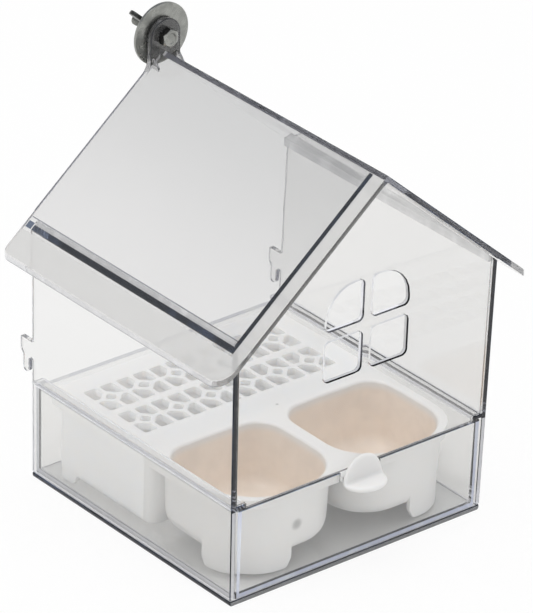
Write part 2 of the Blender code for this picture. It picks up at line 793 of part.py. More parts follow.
def deck():
    """Flat top of the tray with a shallow skirt round it."""
    radii = (DECK_FRONT_RADIUS, DECK_FRONT_RADIUS, DECK_BACK_RADIUS, DECK_BACK_RADIUS)
    outer = rectangle(TRAY_HALF_WIDTH, TRAY_FRONT_Y, TRAY_BACK_Y, radii, CUP_CORNER_STEPS)
    inner = rectangle(
        TRAY_HALF_WIDTH - TRAY_WALL,
        TRAY_FRONT_Y + TRAY_WALL,
        TRAY_BACK_Y - TRAY_WALL,
        [radius - TRAY_WALL for radius in radii],
        CUP_CORNER_STEPS,
    )
    skirt_z = DECK_TOP_Z - DECK_SKIRT_DEPTH
    levels = ((outer, DECK_TOP_Z), (outer, skirt_z), (inner, skirt_z), (inner, DECK_UNDER_Z))
    return loft([[(x, y, z) for x, y in outline] for outline, z in levels])


def lattice_slab():
    """Thicker plate under the deck, so that the lattice's ribs stand deep."""
    outline = rectangle(
        LATTICE_HALF_WIDTH + LATTICE_RIB,
        LATTICE_FRONT_Y - LATTICE_RIB,
        LATTICE_BACK_Y + LATTICE_RIB,
        (0, 0, 0, 0),
        ARC_STEPS,
    )
    return prism(outline, "Z", DECK_TOP_Z - LATTICE_THICKNESS, DECK_UNDER_Z + DECK_THICKNESS / 2)


def lattice_cell(column, row_side, band_y):
    """A cell whose corner beside the nearest diamond is cut off along the diamond's ring."""
    left = -LATTICE_HALF_WIDTH + column * COLUMN_PITCH + LATTICE_RIB / 2
    right = left + COLUMN_PITCH - LATTICE_RIB
    near = band_y + row_side * LATTICE_RIB / 2
    far = near + row_side * LATTICE_CELL_DEPTH
    ring = DIAMOND_DIAGONAL / 2 + LATTICE_RIB * math.sqrt(2)
    trim = ring - LATTICE_RIB
    diamond_on_right = column % 2 == 0
    near_x, far_x = (right, left) if diamond_on_right else (left, right)
    inward = -1 if diamond_on_right else 1
    corners = (
        (near_x, near + row_side * trim),
        (near_x, far),
        (far_x, far),
        (far_x, near),
        (near_x + inward * trim, near),
    )
    return rounded(corners, (LATTICE_CORNER_RADIUS,) * len(corners), SMALL_ARC_STEPS)


def diamond(joint, band_y):
    x = -LATTICE_HALF_WIDTH + joint * COLUMN_PITCH
    half = DIAMOND_DIAGONAL / 2
    corners = ((x - half, band_y), (x, band_y - half), (x + half, band_y), (x, band_y + half))
    return rounded(corners, (DIAMOND_CORNER_RADIUS,) * len(corners), SMALL_ARC_STEPS)


def lattice_holes():
    outlines = []
    for band_y in (FRONT_BAND_Y, BACK_BAND_Y):
        for column in range(LATTICE_COLUMNS):
            for row_side in (-1, 1):
                outlines.append(lattice_cell(column, row_side, band_y))
        for joint in range(1, LATTICE_COLUMNS, 2):
            outlines.append(diamond(joint, band_y))
    low = DECK_TOP_Z - LATTICE_THICKNESS - OVERRUN
    high = DECK_TOP_Z + OVERRUN
    return gathered([prism(outline, "Z", low, high) for outline in outlines])


def chute_outline(inset, steps=ARC_STEPS):
    half = TRAY_HALF_WIDTH - CHUTE_SETBACK - inset
    front = CUP_BACK_Y - CHUTE_OVERLAP + inset
    back = TRAY_BACK_Y - CHUTE_BACK_INSET - inset
    radius = CHUTE_CORNER_RADIUS - inset
    return rectangle(half, front, back, (radius,) * 4, steps)


def chute_walls():
    """Skirt under the lattice that leads droppings and husks down into the drawer."""
    top = DECK_TOP_Z - DECK_THICKNESS / 2
    levels = ((0, top), (0, CUP_BOTTOM_Z), (TRAY_WALL, CUP_BOTTOM_Z), (TRAY_WALL, DECK_UNDER_Z))
    return loft([[(x, y, z) for x, y in chute_outline(inset)] for inset, z in levels])


def leg(outer, inner, top):
    """A wall that hangs from part of an outline to the drawer's floor, with round lower corners."""
    lengths = [0]
    for before, after in zip(outer, outer[1:]):
        lengths.append(lengths[-1] + (Vector(after) - Vector(before)).length)
    bm = bmesh.new()
    rings = []
    for outside, inside, along in zip(outer, inner, lengths):
        from_end = min(along, lengths[-1] - along, LEG_CORNER_RADIUS)
        beyond = LEG_CORNER_RADIUS - from_end
        lift = LEG_CORNER_RADIUS - math.sqrt(LEG_CORNER_RADIUS**2 - beyond**2)
        foot = FOOT_Z + lift
        points = ((*outside, top), (*outside, foot), (*inside, foot), (*inside, top))
        rings.append([bm.verts.new(point) for point in points])
    for before, after in zip(rings, rings[1:]):
        for index in range(4):
            bm.faces.new((before[index - 1], before[index], after[index], after[index - 1]))
    bm.faces.new(rings[0])
    bm.faces.new(rings[-1])
    return finished(bm)


def kept_run(outer, inner, room):
    """The one run of two matching outlines where the outer one has room, cut exactly at its ends.

    room gives how far a point lies inside the kept part, and is negative outside it.
    """
    count = len(outer)
    rooms = [room(*point) for point in outer]
    first = next(i for i in range(count) if rooms[i] >= 0 > rooms[i - 1])
    indexes = [first]
    while rooms[(indexes[-1] + 1) % count] >= 0:
        indexes.append((indexes[-1] + 1) % count)
    last = indexes[-1]
    after = (last + 1) % count
    start_share = rooms[first - 1] / (rooms[first - 1] - rooms[first])
    end_share = rooms[last] / (rooms[last] - rooms[after])
    runs = []
    for outline in (outer, inner):
        run = [split(outline[first - 1], outline[first], start_share)]
        run += [outline[i] for i in indexes]
        run.append(split(outline[last], outline[after], end_share))
        runs.append(run)
    return runs


def finer(outer, inner):
    """Two matching runs with their stretches split alike into short steps."""
    runs = ([], [])
    for index in range(len(outer) - 1):
        length = (Vector(outer[index + 1]) - Vector(outer[index])).length
        steps = max(1, round(length / LEG_STEP))
        for step in range(steps):
            for run, outline in zip(runs, (outer, inner)):
                run.append(split(outline[index], outline[index + 1], step / steps))
    runs[0].append(outer[-1])
    runs[1].append(inner[-1])
    return runs


def front_leg(side):
    """Leg under a cup's outer front corner."""
    draft = (DECK_TOP_Z - CUP_BOTTOM_Z) * math.tan(CUP_DRAFT)
    grow = TRAY_WALL - draft
    steps = CUP_CORNER_STEPS + 1
    outlines = [cup_outline(grow - inset, steps) for inset in (0, LEG_THICKNESS)]
    side_x = CUP_HALF_WIDTH + grow - FRONT_LEG_ALONG_FRONT
    front_y = -(CUP_HALF_DEPTH + grow - FRONT_LEG_ALONG_SIDE)
    runs = finer(*kept_run(*outlines, lambda x, y: min(x - side_x, front_y - y)))
    centre = (side * CUP_CENTRE_X, CUP_CENTRE_Y)
    placed = [[(centre[0] + side * x, centre[1] + y) for x, y in run] for run in runs]
    return leg(*placed, CUP_BOTTOM_Z + CUP_OUTER_BOTTOM_RADIUS)


def back_leg(side):
    """Leg under the chute's back corner, set a little inside the chute's outer face."""
    insets = (LEG_SETBACK, LEG_SETBACK + LEG_THICKNESS)
    outlines = [chute_outline(inset, ARC_STEPS + 1) for inset in insets]
    side_x = TRAY_HALF_WIDTH - CHUTE_SETBACK - BACK_LEG_REACH
    back_y = TRAY_BACK_Y - CHUTE_BACK_INSET - BACK_LEG_REACH
    runs = finer(*kept_run(*outlines, lambda x, y: min(x - side_x, y - back_y)))
    placed = [[(side * x, y) for x, y in run] for run in runs]
    return leg(*placed, CUP_BOTTOM_Z + 2 * FUSE)


def tongue_plate():
    """Upright half-round tongue that stands in front of the drawer."""
    centre_z = DECK_TOP_Z - TONGUE_CENTRE_DROP
    crown = arc((0, centre_z), TONGUE_RADIUS, 0, math.pi, 2 * ARC_STEPS)
    foot_x = TONGUE_RADIUS - TONGUE_FOOT
    outline = [*crown, (-foot_x, centre_z - TONGUE_FOOT), (foot_x, centre_z - TONGUE_FOOT)]
    back = HOUSE_FRONT_Y - SEAM
    return prism(outline, "Y", back - TONGUE_THICKNESS, back)


def tongue_bridge():
    """Neck through the drawer's notch, which carries the tongue."""
    top = DECK_TOP_Z - TONGUE_BRIDGE_STEP
    half = NOTCH_WIDTH / 2 - TONGUE_BRIDGE_SIDE_GAP
    outline = rectangle(half, top - TONGUE_BRIDGE_THICKNESS, top, (0, 0, 0, 0), ARC_STEPS)
    front = HOUSE_FRONT_Y - SEAM - TONGUE_THICKNESS / 2
    return prism(outline, "Y", front, TRAY_FRONT_Y + TRAY_WALL / 2)


def tongue_lip():
    """Half-round lip for the fingertip, rounded underneath and scooped on top."""
    top = DECK_TOP_Z - TONGUE_CENTRE_DROP
    back = HOUSE_FRONT_Y - SEAM - TONGUE_THICKNESS / 2
    reach = LIP_REACH + TONGUE_THICKNESS / 2
    loops = []
    for height_share, radius_share in LIP_SECTION_SHARES:
        half_round = arc((0, 0), radius_share, math.pi, 2 * math.pi, 2 * ARC_STEPS)
        z = top - LIP_THICKNESS * (1 - height_share)
        loops.append([(TONGUE_RADIUS * x, back + reach * y, z) for x, y in half_round])
    return loft(loops)


def seed_tray(runner):
    """White tray: two cups, the lattice, the chute under it, four legs and the thumb tongue."""
    sides = (-1, 1)
    bodies = {
        "lattice_slab": lattice_slab(),
        "chute_walls": chute_walls(),
        "tray_legs": gathered([make(side) for make in (front_leg, back_leg) for side in sides]),
        "cup_bodies": gathered([cup_body(side) for side in sides]),
        "tongue_bridge": tongue_bridge(),
        "tongue_plate": tongue_plate(),
        "tongue_lip": tongue_lip(),
    }
    hollows = {
        "lattice_holes": lattice_holes(),
        "cup_hollows": gathered([cup_hollow(side) for side in sides]),
    }
    material = plastic("seed_tray", (0.87, 0.87, 0.86), 0.38, 0)
    down = Vector((0, 0, -DRAWER_BOTTOM_Z))
    base = deck()
    bmesh.ops.translate(base, verts=base.verts, vec=down)
    tray = piece("seed_tray", base, runner, material)
    for action, shapes in ((fuse, bodies), (cut, hollows)):
        for name, bm in shapes.items():
            bmesh.ops.translate(bm, verts=bm.verts, vec=down)
            action(tray, name, bm)
    weld = tray.modifiers.new("weld", "WELD")
    weld.merge_threshold = WELD


# Bolt, washer and wing nut, each about the bolt's own axis


def hex_bolt(axis):
    """Hexagon bolt whose head bears on the front of the tab."""
    head_back = -TAB_THICKNESS - SEAM
    head_front = head_back - HEAD_HEIGHT
    flat = HEAD_ACROSS_FLATS / 2
    corner = flat / math.cos(math.pi / 6)
    hexagon = arc((0, 0), corner, math.pi / 6, math.pi / 6 + 2 * math.pi, 6)[:-1]
    material = steel("hex_bolt", (0.6, 0.6, 0.58), 0.28)
    bolt = piece("hex_bolt", prism(hexagon, "Z", head_front, head_back), axis, material)
    reach = corner + OVERRUN
    face = flat - HEAD_CHAMFER
    slope = math.tan(math.pi / 6)
    chamfer = (
        (0, head_front),
        (face, head_front),
        (reach, head_front + (reach - face) * slope),
        (reach, head_back + OVERRUN),
        (0, head_back + OVERRUN),
    )
    combine(bolt, tool("head_chamfer", revolve(chamfer, ROUND_STEPS), axis), "INTERSECT")
    radius = BOLT_DIAMETER / 2
    end = head_back + BOLT_LENGTH
    shank = (
        (0, head_back - FUSE),
        (radius, head_back - FUSE),
        (radius, end - BOLT_TIP_CHAMFER),
        (radius - BOLT_TIP_CHAMFER, end),
        (0, end),
    )
    fuse(bolt, "shank", revolve(shank, SHANK_STEPS))


def fender_washer(axis):
    """Wide washer that presses on the cage's wires."""
    inner = BOLT_DIAMETER / 2 + BOLT_HOLE_CLEARANCE
    outer = WASHER_DIAMETER / 2
    near = SEAM
    far = near + WASHER_THICKNESS
    edge = WASHER_EDGE
    ring = (
        (inner, near),
        (outer - edge, near),
        (outer, near + edge),
        (outer, far - edge),
        (outer - edge, far),
        (inner, far),
    )
    material = steel("fender_washer", (0.62, 0.62, 0.59), 0.35)
    piece("fender_washer", revolve(ring, ROUND_STEPS), axis, material)


def wing_outline(foot):
    """Both wings in one outline: each rises from the hub to a round tip."""
    tip_x = WING_SPAN / 2 - WING_TIP_RADIUS
    tip_z = foot + WING_HEIGHT - WING_TIP_RADIUS
    neck = NUT_NECK_DIAMETER / 2
    root_z = foot + WING_ROOT_STEP
    waist_z = foot + NUT_HEIGHT * WING_WAIST_SHARE
    tip = arc((tip_x, tip_z), WING_TIP_RADIUS, -math.pi / 4, math.pi, FINE_ARC_STEPS)
    return [(neck - FUSE, root_z), (neck + FUSE, root_z), *tip, (neck - FUSE, waist_z)]


def wing_nut(axis):
    """Wing nut that clamps the washer; the wings stand off at an angle at rest."""
    foot = 2 * SEAM + WASHER_THICKNESS
    bore = BOLT_DIAMETER / 2 + NUT_BORE_CLEARANCE
    base = NUT_FOOT_DIAMETER / 2
    neck = NUT_NECK_DIAMETER / 2
    hub = (
        (bore, foot),
        (base, foot),
        (base, foot + NUT_FOOT_HEIGHT),
        (neck, foot + NUT_HEIGHT),
        (bore, foot + NUT_HEIGHT),
    )
    spindle = anchor("wing_nut_axis", (0, 0, 0), axis)
    spindle.rotation_euler = (0, 0, WING_REST_ANGLE)
    material = steel("wing_nut", (0.58, 0.58, 0.56), 0.32)
    nut = piece("wing_nut", revolve(hub, ROUND_STEPS), spindle, material)
    half = WING_THICKNESS / 2
    for side, hand in ((-1, "left"), (1, "right")):
        outline = [(side * x, z) for x, z in wing_outline(foot)]
        fuse(nut, hand + "_wing", prism(outline, "Y", -half, half))


def build():
    for thing in list(bpy.data.objects):
        bpy.data.objects.remove(thing)
    house = anchor("house", (0, 0, 0))
    floor_panel(house)
    side_wall("left_wall", house, -1)
    side_wall("right_wall", house, 1)
    front_gable(house)
    roof(house)
    runner = anchor("drawer_runner", (0, 0, DRAWER_BOTTOM_Z), house)
    drawer(runner)
    seed_tray(runner)
    axis = anchor("bolt_axis", (0, TAB_BACK_Y, BOLT_Z), house)
    axis.rotation_euler = (-math.pi / 2, 0, 0)
    hex_bolt(axis)
    fender_washer(axis)
    wing_nut(axis)


build()
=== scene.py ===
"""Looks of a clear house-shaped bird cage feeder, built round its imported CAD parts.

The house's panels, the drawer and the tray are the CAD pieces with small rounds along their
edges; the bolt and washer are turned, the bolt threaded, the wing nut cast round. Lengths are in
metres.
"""

import math

import bmesh
import bpy
from mathutils import Matrix, Vector


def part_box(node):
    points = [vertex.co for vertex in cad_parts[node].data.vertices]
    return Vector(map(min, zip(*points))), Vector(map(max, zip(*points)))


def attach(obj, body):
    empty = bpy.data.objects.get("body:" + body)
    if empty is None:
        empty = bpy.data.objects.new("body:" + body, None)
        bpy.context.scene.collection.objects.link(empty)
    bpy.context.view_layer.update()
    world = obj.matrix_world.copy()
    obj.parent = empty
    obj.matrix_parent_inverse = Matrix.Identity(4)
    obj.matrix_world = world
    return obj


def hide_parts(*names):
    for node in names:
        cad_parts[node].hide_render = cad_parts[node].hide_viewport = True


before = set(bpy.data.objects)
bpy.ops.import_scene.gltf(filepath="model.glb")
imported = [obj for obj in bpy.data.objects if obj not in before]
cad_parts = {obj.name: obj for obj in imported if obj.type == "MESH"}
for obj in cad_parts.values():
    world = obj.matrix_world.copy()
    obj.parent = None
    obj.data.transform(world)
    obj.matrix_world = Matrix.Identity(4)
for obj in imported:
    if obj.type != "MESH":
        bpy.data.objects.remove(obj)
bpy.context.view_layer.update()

bl_info = {
    "name": "Clear cage feeder looks",
    "version": (1, 0, 0),
    "blender": (4, 5, 0),
    "location": "View3D > Sidebar > Feeder",
    "description": "Dresses the parts of a clear bird cage feeder and sets up its studio",
    "category": "Object",
}

MM = 0.001
FULL_TURN = 2 * math.pi


# Places taken from the frame


class Place:
    """Low and high corners and the middle of a CAD node at rest."""

    def __init__(self, node):
        self.low, self.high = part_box(node)
        self.middle = (self.low + self.high) / 2
        self.size = self.high - self.low


ROOF = Place("roof")
DRAWER = Place("drawer")
TRAY = Place("seed_tray")
GABLE = Place("front_gable")
LEFT_WALL = Place("left_wall")
WASHER = Place("fender_washer")
BOLT = Place("hex_bolt")


# Materials


class Signal:
    """A socket of a finish's nodes. Arithmetic on it adds Math nodes."""

    def __init__(self, finish, socket):
        self.finish = finish
        self.socket = socket

    def math(self, operation, *values):
        sockets = dict(enumerate(values))
        return self.finish.add("Math", {"operation": operation}, sockets)

    def __add__(self, other):
        return self.math("ADD", self, other)

    def __sub__(self, other):
        return self.math("SUBTRACT", self, other)

    def __rsub__(self, other):
        return self.math("SUBTRACT", other, self)

    def __mul__(self, other):
        return self.math("MULTIPLY", self, other)

    def __abs__(self):
        return self.math("ABSOLUTE", self)

    def __gt__(self, other):
        return self.math("GREATER_THAN", self, other)

    def __lt__(self, other):
        return self.math("LESS_THAN", self, other)

    def greater_of(self, other):
        return self.math("MAXIMUM", self, other)

    def ease(self, low, high, start=0.0, end=1.0):
        """Runs smoothly from start to end as this value goes from low to high."""
        settings = {"interpolation_type": "SMOOTHSTEP", "clamp": True}
        sockets = {
            "Value": self,
            "From Min": low,
            "From Max": high,
            "To Min": start,
            "To Max": end,
        }
        return self.finish.add("MapRange", settings, sockets)

    __radd__ = __add__
    __rmul__ = __mul__


# Diffuse Depth is 0 for light that no surface has scattered yet, and 1 or more after that.
SCATTERED_DEPTH = 0.5
# A Mix node's sockets for colours: the first, the second and the mixed one.
MIX_FIRST, MIX_SECOND, MIX_OUT = 6, 7, 2


class Finish:
    """A node tree of a material or of the world, filled through one method."""

    def __init__(self, owner):
        self.owner = owner
        owner.use_nodes = True
        self.tree = owner.node_tree
        self.tree.nodes.clear()

    def add(self, kind, settings=None, sockets=None, output=0):
        """Adds a node: its settings first, then the values or links of its sockets."""
        node = self.tree.nodes.new("ShaderNode" + kind)
        for name, value in (settings or {}).items():
            setattr(node, name, value)
        for name, value in (sockets or {}).items():
            self.feed(node.inputs[name], value)
        return Signal(self, node.outputs[output]) if node.outputs else node

    def feed(self, socket, value):
        """Links a signal to a socket, or sets the socket to a plain value."""
        if isinstance(value, Signal):
            self.tree.links.new(value.socket, socket)
        elif hasattr(value, "__len__") and len(value) == 3 and socket.type == "RGBA":
            socket.default_value = (*value, 1)
        else:
            socket.default_value = value

    def place(self):
        """Position on the piece at rest, in metres."""
        return self.add("TexCoord", output="Object")

    def axes(self, place):
        across = self.add("SeparateXYZ", None, {"Vector": place})
        return [Signal(self, output) for output in across.socket.node.outputs]

    def stretched(self, place, scale):
        return self.add("VectorMath", {"operation": "MULTIPLY"}, {0: place, 1: scale})

    def noise(self, place, scale, detail=2.0, roughness=0.5):
        sockets = {"Vector": place, "Scale": scale, "Detail": detail, "Roughness": roughness}
        return self.add("TexNoise", None, sockets)

    def blend(self, share, first, second):
        """A colour that goes from the first to the second as share goes from 0 to 1."""
        settings = {"data_type": "RGBA", "clamp_factor": True}
        mixed = self.add("Mix", settings, {0: share}, MIX_OUT)
        inputs = mixed.socket.node.inputs
        self.feed(inputs[MIX_FIRST], first)
        self.feed(inputs[MIX_SECOND], second)
        return mixed

    def nearness(self, place, centre, reach):
        """1 round the centre, and 0 from the reach on."""
        away = self.add("VectorMath", {"operation": "DISTANCE"}, {0: place, 1: centre}, 1)
        return away.ease(reach / 4, reach, 1.0, 0.0)

    def bumps(self, height, depth):
        return self.add("Bump", None, {"Height": height, "Distance": depth})

    def surface(self, sockets):
        shader = self.add("BsdfPrincipled", None, sockets)
        self.add("OutputMaterial", None, {"Surface": shader})
        return self.owner

    def open_light(self):
        """1 for shadow rays and for scattered light, which a thin clear wall hardly bends."""
        shadow = self.add("LightPath", output="Is Shadow Ray")
        scattered = self.add("LightPath", output="Diffuse Depth") > SCATTERED_DEPTH
        return shadow.greater_of(scattered)

    def open_surface(self, sockets, share, passed=(1, 1, 1)):
        """Shows the eye the plastic, and lets a share of light straight on, in the passed tint."""
        shader = self.add("BsdfPrincipled", None, sockets)
        open_way = self.add("BsdfTransparent", None, {"Color": passed})
        mix = self.add("MixShader", None, {0: share, 1: shader, 2: open_way})
        self.add("OutputMaterial", None, {"Surface": mix})
        return self.owner


def new_finish(name):
    return Finish(bpy.data.materials.new(name))


def toned(colour, share):
    """The colour, taken down to a share of its brightness."""
    return tuple(share * channel for channel in colour)


# Patterns: how many in a metre, how many layers of detail, and how rough these are.
MOULD_FLOW = (16,)
WIPE_MARKS = (120, 4)
TRAY_MOTTLE = (45, 3)
TRAY_GRAIN = (1900, 2)
CUP_CLOUD = (100, 4, 0.6)
PLATING_CLOUD = (260, 4, 0.6)
PLATING_SCRATCHES = (1500, 3, 0.7)
SAW_DETAIL = 3

# How close a pattern lies along x, y and z: less than 1 draws it out.
FLOW_CLOSENESS = (1, 1, 0.45)
WIPE_CLOSENESS = (1, 0.3, 1)
SAW_CLOSENESS = (1, 1, 0.2)
SCRATCH_CLOSENESS = (1, 1, 6)

# Depths of what can be felt.
FLOW_DEPTH = 0.25 * MM
SAW_DEPTH = 0.02 * MM
GRAIN_DEPTH = 0.01 * MM
SCRATCH_DEPTH = 0.01 * MM

# From which value of a pattern to which, and the roughness at each.
CLEAR_GLOSS = (0.45, 0.8, 0.01, 0.04)
EDGE_GLOSS = (0.3, 0.7, 0.04, 0.12)
TRAY_GLOSS = (0.3, 0.7, 0.34, 0.46)
STEEL_GLOSS = (0.25, 0.75, 0.2, 0.38)

# From which value of a pattern, height or depth to which a tone changes.
STREAK_RANGE = (0.45, 0.75)
CLOUD_RANGE = (0.35, 0.65)
DULL_RANGE = (0.3, 0.75)
# Heights over which the roof takes its painted shade towards the ridge.
ROOF_SHADE_RANGE = (130 * MM, 195 * MM)
CUP_DEPTH_RANGE = (1.2 * MM, 5.5 * MM)

# What a pattern leaves of a colour's brightness.
FLOW_TONE = 0.975
MOTTLE_TONE = 0.965
CLOUD_TONE = 0.925
DULL_TONE = 0.8

PLASTIC_INDEX = 1.49
TRAY_SHINE = 0.4
# Share of the light that goes into the tray's plastic, and how deep, in thick and in thin walls.
THICK_GLOW = (0.3, 2.0 * MM)
THIN_GLOW = (0.9, 6.0 * MM)
GLOW_BY_CHANNEL = (1.0, 0.9, 0.8)


def clear_plastic(name, tint, haze, upper=None):
    """Moulded clear plastic: a little uneven, with faint wipe marks and a little haze.

    Upper is the deeper tint, a painted shade, that it takes towards the ridge.
    """
    finish = new_finish(name)
    place = finish.place()
    flow = finish.noise(finish.stretched(place, FLOW_CLOSENESS), *MOULD_FLOW)
    wipes = finish.noise(finish.stretched(place, WIPE_CLOSENESS), *WIPE_MARKS)
    tone = finish.blend(flow, tint, toned(tint, FLOW_TONE))
    # Painted shade: the tint deepens towards the ridge.
    if upper:
        share = finish.axes(place)[2].ease(*ROOF_SHADE_RANGE)
        tone = finish.blend(share, tone, upper)
    sockets = {
        "Base Color": tone,
        "Roughness": wipes.ease(*CLEAR_GLOSS),
        "Transmission Weight": 1 - haze,
        "IOR": PLASTIC_INDEX,
        "Normal": finish.bumps(flow, FLOW_DEPTH),
    }
    passed = [math.sqrt(channel) for channel in tint]
    return finish.open_surface(sockets, finish.open_light(), passed)


def cut_edge(name, tint, density=PLASTIC_INDEX, clarity=0.9, glint=1.25, grain=160):
    """The narrow side of a clear panel: long streaks from the saw, over a tint that paints its
    light and shade.

    Glint is how much lighter the streaks are, a painted glint when large; grain is how many there
    are in a metre.
    """
    finish = new_finish(name)
    place = finish.place()
    streaks = finish.noise(finish.stretched(place, SAW_CLOSENESS), grain, SAW_DETAIL)
    lighter = tuple(min(1.0, glint * channel) for channel in tint)
    sockets = {
        "Base Color": finish.blend(streaks.ease(*STREAK_RANGE), tint, lighter),
        "Roughness": streaks.ease(*EDGE_GLOSS),
        "Transmission Weight": clarity,
        "IOR": density,
        "Normal": finish.bumps(streaks, SAW_DEPTH),
    }
    passed = [(1 + channel) / 2 for channel in tint]
    return finish.open_surface(sockets, finish.open_light(), passed)


DECK_TOP_Z = 45.0 * MM
LATTICE_WALLS_Z = DECK_TOP_Z - 0.4 * MM
# Painted light: the lattice walls under the deck, lighter than the tray for the glow in the holes.
LATTICE_PAINTED_LIGHT = (0.96, 0.957, 0.95)
# Centre, reach and darkness of a dimple's painted shade in a cup's side, and of the injection
# point on the deck.
DIMPLE_SHADE_AND_GATE_MARK = (
    ((-32.4 * MM, -66.1 * MM, 26.5 * MM), 3.8 * MM, 0.55),
    ((8.0 * MM, -2.7 * MM, DECK_TOP_Z), 1.1 * MM, 0.55),
)


def tray_plastic(name, colour, warm=None, passes=0.0):
    """Satin moulded white plastic.

    Warm is the tone that deepens down a cup, and passes is the share of light that goes
    through the lattice's thin walls.
    """
    finish = new_finish(name)
    place = finish.place()
    mottle = finish.noise(place, *TRAY_MOTTLE)
    grain = finish.noise(place, *TRAY_GRAIN)
    tone = finish.blend(mottle, colour, toned(colour, MOTTLE_TONE))
    # Painted shade at the cup's dimple, and a mark at the injection point.
    for centre, reach, dark in DIMPLE_SHADE_AND_GATE_MARK:
        share = finish.nearness(place, centre, reach)
        tone = finish.blend(share, tone, toned(colour, dark))
    if warm:
        below = (DECK_TOP_Z - finish.axes(place)[2]).ease(*CUP_DEPTH_RANGE)
        cloud = finish.noise(place, *CUP_CLOUD).ease(*CLOUD_RANGE)
        tone = finish.blend(below, tone, finish.blend(cloud, warm, toned(warm, CLOUD_TONE)))
    # Painted light on the lattice's walls under the deck.
    if passes:
        walls = finish.axes(place)[2] < LATTICE_WALLS_Z
        tone = finish.blend(walls, tone, LATTICE_PAINTED_LIGHT)
    glow, glow_depth = THIN_GLOW if passes else THICK_GLOW
    sockets = {
        "Base Color": tone,
        "Roughness": mottle.ease(*TRAY_GLOSS),
        "Specular IOR Level": TRAY_SHINE,
        "Subsurface Weight": glow,
        "Subsurface Scale": glow_depth,
        "Subsurface Radius": GLOW_BY_CHANNEL,
        "Normal": finish.bumps(grain, GRAIN_DEPTH),
    }
    if passes:
        return finish.open_surface(sockets, finish.open_light() * passes)
    return finish.surface(sockets)


def plated_steel(name, colour):
    """Zinc plating with tumbling scratches and a cloudy gloss."""
    finish = new_finish(name)
    place = finish.place()
    cloud = finish.noise(place, *PLATING_CLOUD)
    scratches = finish.noise(finish.stretched(place, SCRATCH_CLOSENESS), *PLATING_SCRATCHES)
    tone = finish.blend(cloud.ease(*DULL_RANGE), colour, toned(colour, DULL_TONE))
    sockets = {
        "Base Color": tone,
        "Roughness": cloud.ease(*STEEL_GLOSS),
        "Metallic": 1.0,
        "Normal": finish.bumps(scratches, SCRATCH_DEPTH),
    }
    return finish.surface(sockets)


# Settings that a user would change


def length(name, description, default):
    return bpy.props.FloatProperty(
        name=name, description=description, default=default, unit="LENGTH", precision=5
    )


def angle(name, description, degrees):
    return bpy.props.FloatProperty(
        name=name, description=description, default=math.radians(degrees), subtype="ANGLE"
    )


def colour(name, description, default):
    return bpy.props.FloatVectorProperty(
        name=name, description=description, default=default, subtype="COLOR", min=0, max=1
    )


def amount(name, description, default):
    return bpy.props.FloatProperty(name=name, description=description, default=default, min=0)


class FeederColours(bpy.types.PropertyGroup):
    walls: colour("Walls", "Tint of the clear side walls and front", (0.922, 0.919, 0.914))
    roof: colour("Roof", "Tint of the clear roof", (0.874, 0.868, 0.866))
    # Painted shade: the roof's deeper tint near its ridge.
    roof_top_shade: colour("Roof top", "Tint of the clear roof near its ridge", (0.725, 0.725, 0.725))
    drawer: colour("Drawer", "Tint of the clear drawer", (0.96, 0.959, 0.953))
    floor: colour("Floor", "Tint of the clear floor", (0.985, 0.985, 0.986))
    # Pale edges to bolt tab, all but the eaves: painted light and shade on the clear panels.
    painted_light_edges: colour("Pale edges", "Tint of narrow sides that look light", (0.88, 0.89, 0.94))
    edges: colour("Edges", "Tint of narrow sides that look grey", (0.76, 0.765, 0.785))
    painted_shade_edges: colour("Dark edges", "Tint of narrow sides that look dark", (0.13, 0.135, 0.16))
    # Painted shade: the dark lines that the clear panels show at their seams and corners.
    seams: colour("Seams", "Tint of the seams and corner lines", (0.03, 0.043, 0.08))
    drawer_foot_light: colour("Drawer foot", "Tint along the foot of the drawer", (0.7, 0.74, 0.9))
    eaves: colour("Eaves", "Milky tone of the roof outside the walls", (0.6, 0.596, 0.588))
    ribs: colour("Roof ribs", "Tint of the locating ribs under the roof", (0.74, 0.745, 0.75))
    lines: colour("Dark lines", "Tint of the ridge and pane lines", (0.05, 0.052, 0.062))
    # Painted shade: the tab's dark tint stands for the washer and shade seen through it.
    tab: colour("Bolt tab", "Tint of the tab that holds the bolt", (0.36, 0.36, 0.36))
    tray: colour("Tray", "White of the tray", (0.8, 0.798, 0.792))
    cups: colour("Cups", "Warm tone inside the cups", (0.88, 0.787, 0.698))
    steel: colour("Steel", "Plated steel of the clamp", (0.34, 0.345, 0.325))
    # Painted shade: the dark tone of the wing nut and of the bolt's head and shank sides.
    steel_painted_shade: colour("Dark steel", "Tone of wing nut and head sides", (0.09, 0.09, 0.085))


class FeederSizes(bpy.types.PropertyGroup):
    panel_round: length("Panel round", "Round along the clear panels' edges", 0.4 * MM)
    tray_round: length("Tray round", "Round along the tray's edges", 0.3 * MM)
    tongue_width: length("Tongue width", "Width of the thumb tongue", 22.0 * MM)
    tongue_rise: length("Tongue rise", "Height of the tongue over the lip's middle", 13.0 * MM)
    tongue_reach: length("Tongue reach", "Reach of the lip from the plate's middle", 11.0 * MM)
    tongue_bend: length("Tongue bend", "Radius between plate and lip", 2.4 * MM)
    tongue_thickness: length("Tongue thickness", "Thickness of the tongue's plate", 2.1 * MM)
    casting_grain: length("Casting grain", "Fineness of the wing nut's rounded skin", 0.25 * MM)
    head_across_flats: length("Head across flats", "Width of the bolt's head", 8.0 * MM)
    head_height: length("Head height", "Height of the bolt's head", 3.5 * MM)
    bolt_diameter: length("Bolt diameter", "Diameter over the bolt's thread", 5.0 * MM)
    thread_pitch: length("Thread pitch", "Pitch of the bolt's thread", 0.8 * MM)
    thread_depth: length("Thread depth", "Depth of the bolt's thread", 0.45 * MM)
    washer_hole: length("Washer hole", "Diameter of the washer's hole", 5.5 * MM)
    washer_round: length("Washer round", "Round on the washer's rim", 0.3 * MM)


